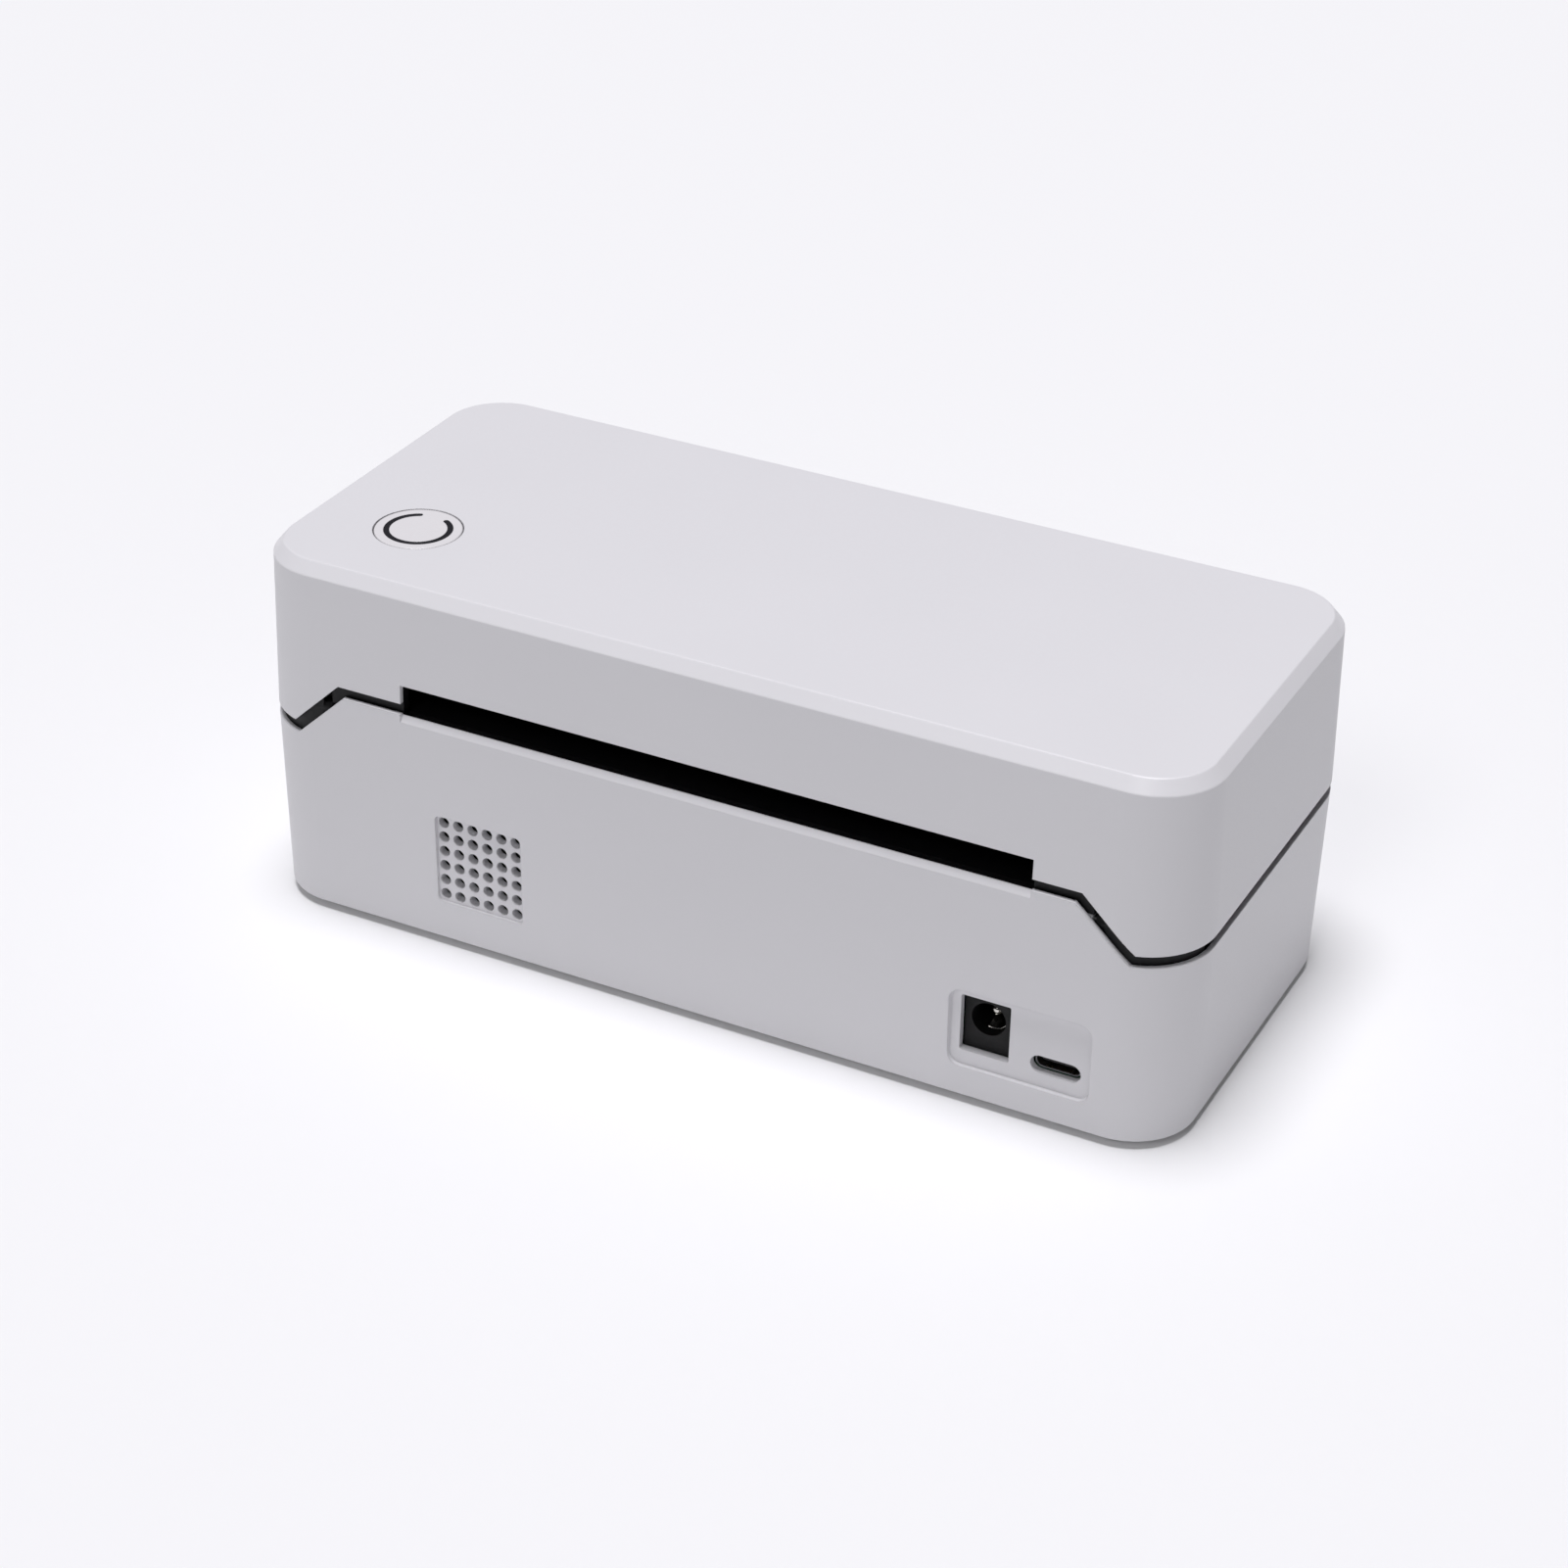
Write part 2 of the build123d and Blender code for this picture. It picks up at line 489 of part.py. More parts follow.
with BuildPart() as motor_shaft:
    add(rod_x((MOTOR_BACK + 0.6, WHEEL_PLANE[1] + 0.8), MOTOR_Y, MOTOR_Z, 5.0))
    chamfer(motor_shaft.edges().filter_by(GeomType.CIRCLE), 0.3)

finish(motor_shaft.part, "motor_shaft")

with BuildPart() as motor_screws:
    with BuildSketch(Plane.YZ.offset(PLATE_X + PLATE)):
        with Locations(MOTOR_SPOT):
            with GridLocations(26, 26, 2, 2):
                Circle(2.4)
    extrude(amount=1.3)
    with BuildSketch(Plane.YZ.offset(PLATE_X - 5)):
        with Locations(MOTOR_SPOT):
            with GridLocations(26, 26, 2, 2):
                Circle(1.2)
    extrude(amount=5 + PLATE)
    with BuildSketch(Plane.YZ.offset(PLATE_X + PLATE + 0.6)):
        with Locations(MOTOR_SPOT):
            with GridLocations(26, 26, 2, 2):
                Rectangle(3.2, 0.7)
                Rectangle(0.7, 3.2)
    extrude(amount=3, mode=Mode.SUBTRACT)

finish(motor_screws.part, "motor_screws")

# ---- label guides: two fences on racks under the deck, turned together by one pinion ----
rack_pitch = pi * RACK_MODULE
PINION_R = RACK_MODULE * RACK_PINION / 2
RACK_PLAY = 0.12


def rack(x, side, near, far):
    """Rack bar along X with teeth towards the pinion; side is +1 behind it and -1 before it."""
    pitch_y = GUIDE_Y + side * (PINION_R + RACK_PLAY)
    with BuildPart() as bar_part:
        with BuildSketch(Plane.XY.offset(RACK_Z[0])):
            low, high = sorted((pitch_y + side * RACK_MODULE, pitch_y + side * 3.6))
            with Locations(((x[0] + x[1]) / 2, (low + high) / 2)):
                Rectangle(x[1] - x[0], high - low)
            count = int((x[1] - x[0]) / rack_pitch) + 2
            first = int((x[0] - PATH_X) / rack_pitch) - 1
            for tooth in range(first, first + count):
                centre = PATH_X + tooth * rack_pitch
                if x[0] + 1.3 < centre < x[1] - 1.3:
                    with Locations((centre, pitch_y)):
                        Polygon((-0.92, side * RACK_MODULE * 1.1), (-0.24, -side * RACK_MODULE * 0.9),
                                (0.24, -side * RACK_MODULE * 0.9), (0.92, side * RACK_MODULE * 1.1),
                                align=None)
        extrude(amount=RACK_Z[1] - RACK_Z[0])
        arm = sorted((GUIDE_Y - side * 1.6, pitch_y + side * 3.6))
        add(bar((near, far), arm, RACK_Z))
    return bar_part.part


for name, post_x, side in (("guide_left", LEFT_POST_X, 1), ("guide_right", RIGHT_POST_X, -1)):
    inward = 1 if post_x < PATH_X else -1
    rack_x = sorted((post_x - inward * 2.5, PATH_X + inward * 7.0))
    fence = sorted((post_x, post_x + inward * 2.0))
    with BuildPart() as guide:
        with BuildSketch(Plane.YZ.offset(fence[0])):
            Polygon((5, DECK_TOP + 0.15), (5, 50), (8, 52.9), (27, 52.9), (31, 50), (31, DECK_TOP + 0.15),
                    align=None)
        extrude(amount=fence[1] - fence[0])
        foot = sorted((post_x + inward * 1.0, post_x - inward * 2.6))
        add(bar(foot, (5, 31), (DECK_TOP + 0.15, DECK_TOP + 1.5)))
        post = sorted((post_x - inward * 2.0, post_x + inward * 2.0))
        add(bar(post, (GUIDE_Y - 1.6, GUIDE_Y + 1.6), (RACK_Z[1] - 0.5, DECK_TOP + 1.0)))
        add(rack(rack_x, side, *post))
    finish(guide.part, name)

with BuildPart() as guide_pinion:
    with BuildSketch(Plane.XY.offset(RACK_Z[0] + 0.2)):
        with Locations((PATH_X, GUIDE_Y)):
            gear_face(RACK_PINION, RACK_MODULE, 90 + 180 / RACK_PINION, 0.3)
    extrude(amount=RACK_Z[1] - RACK_Z[0] - 0.4)
    add(rod_z(PATH_X, GUIDE_Y, (30, 50), 5.0 + 2 * RUN), mode=Mode.SUBTRACT)

finish(guide_pinion.part, "guide_pinion")

with BuildPart() as pinion_screw:
    add(rod_z(PATH_X, GUIDE_Y, (RACK_Z[0] - 1.6, RACK_Z[0] - 0.4), 7.0))
    add(rod_z(PATH_X, GUIDE_Y, (RACK_Z[0] - 0.4, DECK_TOP - 3), 2.0))
    with BuildSketch(Plane.XY.offset(RACK_Z[0] - 1.6)):
        with Locations((PATH_X, GUIDE_Y)):
            Rectangle(4, 0.8)
            Rectangle(0.8, 4)
    extrude(amount=0.7, mode=Mode.SUBTRACT)

finish(pinion_screw.part, "pinion_screw")

# ---- label gap sensor: emitter in the deck, receiver over it in the lid ----
with BuildPart() as gap_emitter:
    add(bar((PATH_X - 4, PATH_X + 4), (SENSOR_Y - 2.2, SENSOR_Y + 2.2), (DECK_TOP - DECK - 1.5, DECK_TOP)))
    add(bar((PATH_X - 7, PATH_X + 7), (SENSOR_Y - 2.6, SENSOR_Y + 2.6),
            (DECK_TOP - DECK - 1.5, DECK_TOP - DECK)))
    add(rod_z(PATH_X, SENSOR_Y, (DECK_TOP - 0.5, DECK_TOP + 1), 3.0), mode=Mode.SUBTRACT)

finish(gap_emitter.part, "gap_emitter")

# ---- main board with its posts' screws, jack, USB socket and parts ----
BOARD_X, BOARD_Y = (-81.4, 25.0), (2.0, 37.6)
BOARD_LOW = BOARD_TOP - BOARD
with BuildPart() as main_board:
    add(bar(BOARD_X, BOARD_Y, (BOARD_LOW, BOARD_TOP)))
    with Locations(*[(x, y, BOARD_LOW) for x, y in BOARD_POSTS]):
        Cylinder(1.1, 10, mode=Mode.SUBTRACT)

finish(main_board.part, "main_board")

with BuildPart() as board_screws:
    with Locations(*[(x, y, BOARD_TOP) for x, y in BOARD_POSTS]):
        Cylinder(2.1, 1.4, align=(Align.CENTER, Align.CENTER, Align.MIN))
    with Locations(*[(x, y, BOARD_TOP - 5.6) for x, y in BOARD_POSTS]):
        Cylinder(0.95, 5.6, align=(Align.CENTER, Align.CENTER, Align.MIN))
    with BuildSketch(Plane.XY.offset(BOARD_TOP + 0.7)):
        with Locations(*BOARD_POSTS):
            Rectangle(2.8, 0.6)
            Rectangle(0.6, 2.8)
    extrude(amount=2, mode=Mode.SUBTRACT)

finish(board_screws.part, "board_screws")

JACK_FACE = port_face - WALL - 0.05
JACK_BODY = 9.0
with BuildPart() as dc_jack:
    add(bar((JACK_X - JACK_BODY / 2, JACK_X + JACK_BODY / 2), (JACK_FACE - 14.2, JACK_FACE),
            (BOARD_TOP, JACK_Z + 5.6)))
    with BuildSketch(Plane.XZ.offset(-JACK_FACE)):
        with Locations((JACK_X, JACK_Z + 1.0)):
            Circle(3.25)
    extrude(amount=9.5, mode=Mode.SUBTRACT)
    # step at the back of the body
    add(bar((JACK_X - 5, JACK_X + 5), (JACK_FACE - 15, JACK_FACE - 11), (JACK_Z + 3.4, JACK_Z + 6)),
        mode=Mode.SUBTRACT)

finish(dc_jack.part, "dc_jack")

with BuildPart() as dc_jack_contacts:
    with BuildSketch(Plane.XZ.offset(-(JACK_FACE - 9.5))):
        with Locations((JACK_X, JACK_Z + 1.0)):
            Circle(1.0)
    extrude(amount=-8.4)
    fillet(dc_jack_contacts.edges().group_by(Axis.Y)[-1], 0.9)
    # sprung sleeve contact, a curved leaf along the lower left of the bore
    with BuildSketch(Plane.XZ.offset(-(JACK_FACE - 9.2))):
        with Locations((JACK_X, JACK_Z + 1.0)):
            Circle(3.2)
            Circle(2.75, mode=Mode.SUBTRACT)
            with Locations((-2.4, -2.4)):
                Rectangle(6.4, 6.4, rotation=20, mode=Mode.INTERSECT)
    extrude(amount=-6.4)

finish(dc_jack_contacts.part, "dc_jack_contacts")

USB_FACE = port_face - WALL - 0.15
with BuildPart() as usb_c_shell:
    with BuildSketch(Plane.XZ.offset(-USB_FACE)):
        with Locations((USB_X, USB_Z)):
            SlotOverall(8.94, 3.1)
            SlotOverall(8.34, 2.5, mode=Mode.SUBTRACT)
    extrude(amount=7.3)
    with BuildSketch(Plane.XZ.offset(-(USB_FACE - 6.9))):
        with Locations((USB_X, USB_Z)):
            SlotOverall(8.5, 2.7)
    extrude(amount=0.4)

finish(usb_c_shell.part, "usb_c_shell")

with BuildPart() as usb_c_tongue:
    with BuildSketch(Plane.XZ.offset(-(USB_FACE - 6.9))):
        with Locations((USB_X, USB_Z)):
            RectangleRounded(6.7, 0.7, 0.3)
    extrude(amount=-6.2)

finish(usb_c_tongue.part, "usb_c_tongue")

with BuildPart() as capacitors:
    for x, y in ((-44, 27), (-32, 27)):
        add(rod_z(x, y, (BOARD_TOP, BOARD_TOP + 15), 10.0))
    fillet(capacitors.edges().group_by(Axis.Z)[-1], 0.8)

finish(capacitors.part, "capacitors")

with BuildPart() as board_chips:
    for x, y, wide, deep, high in ((-10, 18, 10, 10, 1.4), (8, 22, 7, 7, 1.1), (-56, 12, 6, 8, 1.6),
                                   (-30, 12, 8.2, 8.2, 4.0), (-66, 14, 5, 4, 2.2)):
        add(bar((x - wide / 2, x + wide / 2), (y - deep / 2, y + deep / 2), (BOARD_TOP, BOARD_TOP + high)))

finish(board_chips.part, "board_chips")

with BuildPart() as board_sockets:
    for x, y, wide in ((-20, 4.6, 12.5), (0, 4.6, 10), (14, 4.6, 7.5), (20, 24, 5)):
        add(bar((x - wide / 2, x + wide / 2), (y - 2.4, y + 2.4), (BOARD_TOP, BOARD_TOP + 5.2)))
        add(bar((x - wide / 2 + 0.8, x + wide / 2 - 0.8), (y - 1.6, y + 1.6), (BOARD_TOP + 1.4, BOARD_TOP + 6)),
            mode=Mode.SUBTRACT)

finish(board_sockets.part, "board_sockets")

# ---- speaker behind the rear grille ----
SPEAKER_FACE = grille_face - WALL - 0.35
with BuildPart() as speaker:
    with BuildSketch(Plane.XZ.offset(-SPEAKER_FACE)):
        with Locations((GRILLE_X, GRILLE_Z)):
            RectangleRounded(22, 22, 2.0)
    extrude(amount=5.0)
    with BuildSketch(Plane.XZ.offset(-SPEAKER_FACE)):
        with Locations((GRILLE_X, GRILLE_Z)):
            Circle(9.2)
    extrude(amount=0.8, mode=Mode.SUBTRACT)
    with BuildSketch(Plane.XZ.offset(-(SPEAKER_FACE - 5.0))):
        with Locations((GRILLE_X, GRILLE_Z)):
            Circle(7.5)
    extrude(amount=2.4)

finish(speaker.part, "speaker")

# ---- rubber feet and the screws that hold the frame ----
with BuildPart() as rubber_feet:
    with Locations(*[(x, y, 0) for x, y in BASE_FEET]):
        Cylinder(6.0, FOOT + 0.8, align=(Align.CENTER, Align.CENTER, Align.MIN))
    chamfer(rubber_feet.edges().group_by(Axis.Z)[0], 0.5)

finish(rubber_feet.part, "rubber_feet")

with BuildPart() as frame_screws:
    with Locations(*[(x, y, FOOT + 32 - 1.6) for x, y in FRAME_POSTS]):
        Cylinder(1.6, 1.6, align=(Align.CENTER, Align.CENTER, Align.MIN))
    with Locations(*[(x, y, FOOT + 32) for x, y in FRAME_POSTS]):
        Cylinder(0.85, DECK_TOP - 0.6 - FOOT - 32, align=(Align.CENTER, Align.CENTER, Align.MIN))

finish(frame_screws.part, "frame_screws")

# ---- lid shell: white ABS cover with the inlet, the outlet and the button hole ----
LID_DEEP = TOP - TOP_CHAMFER_Z
LID_SCREWS = [(-84, -28), (84, -30), (-84, 18), (52, 33), (-50, 33), (84, 6)]
BUTTON_POSTS = [(BUTTON_X - 12, BUTTON_Y), (BUTTON_X + 12, BUTTON_Y)]
SEAT = 56.6             # top of the lid frame's panel, where the lid's bosses end

with BuildPart() as lid_lip_room:
    add(drafted_block(LIP, BASE_LOW, 60, False))
    with BuildSketch(Plane.XZ):
        step_region(LID_LOW + LIP_DEEP, LID_HIGH + LIP_DEEP, LID_STEP)
    extrude(amount=60, both=True, mode=Mode.SUBTRACT)

with BuildPart() as lid_shell:
    add(drafted_block(0, BASE_LOW, LID_DEEP, False))
    with BuildSketch(Plane.XY.offset(LID_DEEP)):
        outline(0)
    with BuildSketch(Plane.XY.offset(TOP)):
        outline(-TOP_CHAMFER_IN)
    loft(ruled=True)
    fillet(lid_shell.edges().filter_by_position(Axis.Z, LID_DEEP - 0.1, TOP + 0.1)
           .filter_by(lambda edge: abs(edge.start_point().Z - edge.end_point().Z) < 0.01), EDGE_ROUND)
    add(drafted_block(WALL, BASE_LOW - 1, LID_DEEP, False), mode=Mode.SUBTRACT)
    with Locations(*[(x, y, SEAT) for x, y in LID_SCREWS]):
        Cylinder(2.7, LID_DEEP - SEAT + 0.5, align=(Align.CENTER, Align.CENTER, Align.MIN))
    with Locations(*[(x, y, 64.2) for x, y in BUTTON_POSTS]):
        Cylinder(2.2, LID_DEEP - 64.2 + 0.5, align=(Align.CENTER, Align.CENTER, Align.MIN))
    with Locations(*[(x, y, SEAT - 1) for x, y in LID_SCREWS]):
        Cylinder(1.0, 12, align=(Align.CENTER, Align.CENTER, Align.MIN), mode=Mode.SUBTRACT)
    with Locations(*[(x, y, 63) for x, y in BUTTON_POSTS]):
        Cylinder(0.8, 7, align=(Align.CENTER, Align.CENTER, Align.MIN), mode=Mode.SUBTRACT)
    add(lid_lip_room.part, mode=Mode.SUBTRACT)
    with BuildSketch(Plane.XZ):
        step_region(LID_LOW, LID_HIGH, LID_STEP)
    extrude(amount=60, both=True, mode=Mode.INTERSECT)
    add(bar(inlet_x, (30, 50), (40, INLET_TOP)), mode=Mode.SUBTRACT)
    add(bar(outlet_x, (-50, -30), (40, OUTLET_TOP)), mode=Mode.SUBTRACT)
    add(rod_z(BUTTON_X, BUTTON_Y, (60, 80), BUTTON_HOLE), mode=Mode.SUBTRACT)

finish(lid_shell.part, "lid_shell")

# ---- lid frame: black ABS panel under the lid, head pocket, hinge ears, striker legs ----
PANEL = (54.6, 56.4)
POCKET_X = (PATH_X - 64.0, PATH_X + 63.4)
POCKET_Y = (-37.6, -0.6)
POCKET_WALL = 1.4
EAR_START = 29.8
EAR_SIDE = 77.9         # past here the base edge has stepped down out of the ears' swing

with BuildPart() as ear_rims:
    add(drafted_block(RIM_OUT, BASE_LOW - 0.4, PANEL[1], False))
    add(drafted_block(RIM_OUT, BASE_LOW - 1, 60, True), mode=Mode.INTERSECT)
    with BuildSketch(Plane.XZ):
        step_region(BASE_LOW - 0.4, BASE_HIGH - 0.4, BASE_STEP)
    extrude(amount=60, both=True, mode=Mode.INTERSECT)
    add(drafted_block(WALL + 0.5, BASE_LOW - 0.4, PANEL[1], False), mode=Mode.SUBTRACT)
    with BuildSketch(Plane.XZ):
        step_region(LID_LOW + RIM_RISE, LID_HIGH + RIM_RISE, LID_STEP)
    extrude(amount=60, both=True, mode=Mode.SUBTRACT)

with BuildPart() as ear_walls:
    add(drafted_block(WALL + 0.3, BASE_LOW - 0.4, PANEL[1], False))
    add(drafted_block(WALL + 1.8, BASE_LOW - 1, PANEL[1] + 1, False), mode=Mode.SUBTRACT)
    add(ear_rims.part)
    with BuildSketch(Plane.XY.offset(30)):
        for side in (-1, 1):
            with Locations((side * (EAR_SIDE + 9.5), EAR_START + 10)):
                Rectangle(19, 20)
    extrude(amount=40, mode=Mode.INTERSECT)

with BuildPart() as lid_frame:
    add(drafted_block(WALL + 0.3, *PANEL, False))
    add(drafted_block(WALL + 0.3, PANEL[1], 60, False))
    add(drafted_block(WALL + 1.7, PANEL[1], 61, False), mode=Mode.SUBTRACT)
    add(ear_walls.part)
    # pocket over the print head
    add(bar(POCKET_X, POCKET_Y, (PANEL[0], POCKET_ROOF + POCKET_WALL)))
    add(bar((POCKET_X[0] + POCKET_WALL, POCKET_X[1] - POCKET_WALL),
            (POCKET_Y[0] + POCKET_WALL, POCKET_Y[1] - POCKET_WALL), (50, POCKET_ROOF)), mode=Mode.SUBTRACT)
    for side in (-1, 1):
        lug = sorted((side * LID_LUG[0], side * LID_LUG[1]))
        with BuildSketch(Plane.YZ.offset(lug[0])):
            with Locations((HINGE_Y, HINGE_Z)):
                Circle(KNUCKLE / 2)
            Polygon((HINGE_Y - KNUCKLE / 2, HINGE_Z), (HINGE_Y, HINGE_Z), (HINGE_Y, PANEL[0] + 0.5),
                    (34.0, PANEL[0] + 0.5), align=None)
        extrude(amount=lug[1] - lug[0])
        add(rod_x((lug[0] - 1, lug[1] + 1), HINGE_Y, HINGE_Z, HINGE_PIN + 2 * RUN), mode=Mode.SUBTRACT)
    # twin legs that hold each striker pin
    for x in LATCH_X:
        for near, far in ((-2.9, -1.8), (1.8, 2.9)):
            add(bar((x + near, x + far), (LATCH_Y - 1.5, LATCH_Y + 1.5), (LATCH_Z - 1.4, PANEL[0] + 0.2)))
        add(rod_x((x - 4, x + 4), LATCH_Y, LATCH_Z, 2.0), mode=Mode.SUBTRACT)
    # bores for the head's pivot pins, in the pocket's end walls
    add(rod_x((-90, 90), HEAD_PIVOT_Y, HEAD_PIVOT_Z, 3.0), mode=Mode.SUBTRACT)
    # window for the sensor's receiver
    add(bar((PATH_X - 4.1, PATH_X + 4.1), (SENSOR_Y - 2.3, SENSOR_Y + 2.3), (50, 60)), mode=Mode.SUBTRACT)
    with Locations(*[(x, y, PANEL[0] - 1) for x, y in LID_SCREWS]):
        Cylinder(1.2, 5, align=(Align.CENTER, Align.CENTER, Align.MIN), mode=Mode.SUBTRACT)

finish(lid_frame.part, "lid_frame")

with BuildPart() as gap_receiver:
    add(bar((PATH_X - 4, PATH_X + 4), (SENSOR_Y - 2.2, SENSOR_Y + 2.2), (PANEL[0] - 0.4, PANEL[1] + 1.6)))
    add(bar((PATH_X - 7, PATH_X + 7), (SENSOR_Y - 3.1, SENSOR_Y + 3.1), (PANEL[1], PANEL[1] + 1.6)))
    add(rod_z(PATH_X, SENSOR_Y, (PANEL[0] - 1, PANEL[0] + 0.2), 3.0), mode=Mode.SUBTRACT)

finish(gap_receiver.part, "gap_receiver")

with BuildPart() as lid_screws:
    with Locations(*[(x, y, PANEL[0] - 1.4) for x, y in LID_SCREWS]):
        Cylinder(2.2, 1.4, align=(Align.CENTER, Align.CENTER, Align.MIN))
    with Locations(*[(x, y, PANEL[0]) for x, y in LID_SCREWS]):
        Cylinder(0.95, 9, align=(Align.CENTER, Align.CENTER, Align.MIN))
    with BuildSketch(Plane.XY.offset(PANEL[0] - 1.4)):
        with Locations(*LID_SCREWS):
            Rectangle(2.8, 0.6)
            Rectangle(0.6, 2.8)
    extrude(amount=0.8, mode=Mode.SUBTRACT)

finish(lid_screws.part, "lid_screws")

# ---- snap catch each side: striker pin on the lid, spring-steel clip on the base ----
with BuildPart() as striker_pins:
    for x in LATCH_X:
        add(rod_x((x - 2.9, x + 2.9), LATCH_Y, LATCH_Z, 2.0))

finish(striker_pins.part, "striker_pins")

CLIP = 0.5
CLIP_IN = 1.12          # half the space inside the clip, round the pin
with BuildPart() as catch_clips:
    for x in LATCH_X:
        with BuildSketch(Plane((x - 1.4, LATCH_Y, LATCH_Z), (0, 1, 0), (1, 0, 0))):
            with BuildLine():
                half = Polyline((0, -2.1), (CLIP_IN + CLIP, -2.1), (CLIP_IN + CLIP, 0.4), (0.85 + CLIP, 1.9),
                                (1.9 + CLIP, 4.0), (1.9, 4.0), (0.85, 1.9), (CLIP_IN, 0.4),
                                (CLIP_IN, CLIP - 2.1), (0, CLIP - 2.1))
                mirror(half, about=Plane.YZ)
            make_face()
        extrude(amount=2.8)

finish(catch_clips.part, "catch_clips")

# ---- tear bar: serrated steel strip across the outlet ----
TEAR_Y = (-36.15, -35.35)
TEAR_X = (PATH_X - 57.0, PATH_X + 57.0)
TEAR_PITCH = 1.9
with BuildPart() as tear_bar:
    add(bar(TEAR_X, TEAR_Y, (51.4, 60)))
    with BuildSketch(Plane.XZ.offset(-TEAR_Y[1])):
        with Locations((PATH_X, 51.4)):
            with GridLocations(TEAR_PITCH, 1, 60, 1):
                Polygon((-TEAR_PITCH / 2, 0.02), (0, -1.3), (TEAR_PITCH / 2, 0.02), align=None)
    extrude(amount=TEAR_Y[1] - TEAR_Y[0])

finish(tear_bar.part, "tear_bar")

# ---- print head: finned aluminium block, ceramic strip, driver cover, socket, bracket ----
HEAD_X = (PATH_X - 56.0, PATH_X + 56.0)
CERAMIC = 1.0
BLOCK_LOW = HEAD_FACE + CERAMIC
BLOCK_TOP = BLOCK_LOW + 6.0
with BuildPart() as head_block:
    add(bar(HEAD_X, (-34.6, -13.0), (BLOCK_LOW, BLOCK_TOP)))
    with BuildSketch(Plane.YZ.offset(HEAD_X[0])):
        with Locations((-24.0, BLOCK_TOP - 1.6)):
            with GridLocations(3.2, 1, 6, 1):
                Rectangle(1.6, 3.4)
    extrude(amount=HEAD_X[1] - HEAD_X[0], mode=Mode.SUBTRACT)
    # solid lands under the two springs
    for x in (-30, 30):
        add(bar((PATH_X + x - 6, PATH_X + x + 6), (-33, -15), (BLOCK_TOP - 3.4, BLOCK_TOP)))

finish(head_block.part, "head_block")

with BuildPart() as head_ceramic:
    add(bar((HEAD_X[0] + 0.5, HEAD_X[1] - 0.5), (-34.2, -21.0), (HEAD_FACE + 0.25, BLOCK_LOW)))
    with BuildSketch(Plane.YZ.offset(HEAD_X[0] + 0.5)):
        Polygon((-28.6, HEAD_FACE + 0.26), (-27.5, HEAD_FACE + 0.02), (-26.5, HEAD_FACE + 0.02),
                (-25.4, HEAD_FACE + 0.26), align=None)
    extrude(amount=HEAD_X[1] - HEAD_X[0] - 1.0)

finish(head_ceramic.part, "head_ceramic")

with BuildPart() as head_driver_cover:
    with BuildSketch(Plane.YZ.offset(HEAD_X[0] + 1.5)):
        Polygon((-20.8, BLOCK_LOW), (-20.2, BLOCK_LOW - 1.0), (-14.6, BLOCK_LOW - 1.0), (-14.0, BLOCK_LOW),
                align=None)
    extrude(amount=HEAD_X[1] - HEAD_X[0] - 3.0)

finish(head_driver_cover.part, "head_driver_cover")

BRACKET = 1.0
EAR_LEFT = (POCKET_X[0] + POCKET_WALL + 0.4, POCKET_X[0] + POCKET_WALL + 0.4 + BRACKET)
EAR_RIGHT = (POCKET_X[1] - POCKET_WALL - 0.4 - BRACKET, POCKET_X[1] - POCKET_WALL - 0.4)
with BuildPart() as head_bracket:
    add(bar((EAR_LEFT[0], EAR_RIGHT[1]), (-33.0, -3.4), (BLOCK_TOP, BLOCK_TOP + BRACKET)))
    add(bar((PATH_X - 48, PATH_X + 48), (-11.0, -6.4), (50, 60)), mode=Mode.SUBTRACT)
    for x in (-30, 30):
        add(rod_z(PATH_X + x, -24.0, (BLOCK_TOP + BRACKET, BLOCK_TOP + BRACKET + 1.6), 3.6))
    for ear in (EAR_LEFT, EAR_RIGHT):
        with BuildSketch(Plane.YZ.offset(ear[0])):
            Polygon((-14, BLOCK_TOP), (-3.4, BLOCK_TOP), (-3.4, HEAD_PIVOT_Z + 2), (-5, HEAD_PIVOT_Z + 2.6),
                    (-8.6, HEAD_PIVOT_Z + 2.2), align=None)
        extrude(amount=BRACKET)
    add(rod_x((-90, 90), HEAD_PIVOT_Y, HEAD_PIVOT_Z, 2.6 + 2 * RUN), mode=Mode.SUBTRACT)

finish(head_bracket.part, "head_bracket")

with BuildPart() as head_pivots:
    for wall, ear, way in ((POCKET_X[0], EAR_LEFT[1], 1), (POCKET_X[1], EAR_RIGHT[0], -1)):
        pin = sorted((wall - way * 0.8, wall + way * (POCKET_WALL + 0.2)))
        add(rod_x(pin, HEAD_PIVOT_Y, HEAD_PIVOT_Z, 3.0))
        add(rod_x(sorted((wall, ear + way * 0.8)), HEAD_PIVOT_Y, HEAD_PIVOT_Z, 2.6))
        add(rod_x(sorted((wall - way * 1.2, wall)), HEAD_PIVOT_Y, HEAD_PIVOT_Z, 4.6))

finish(head_pivots.part, "head_pivots")

with BuildPart() as head_socket:
    add(bar((PATH_X - 18, PATH_X + 18), (-12.9, -8.4), (BLOCK_LOW + 1.2, BLOCK_TOP - 0.6)))
    add(bar((PATH_X - 16.6, PATH_X + 16.6), (-10.4, -8.3), (BLOCK_LOW + 2.0, BLOCK_TOP - 1.4)),
        mode=Mode.SUBTRACT)

finish(head_socket.part, "head_socket")

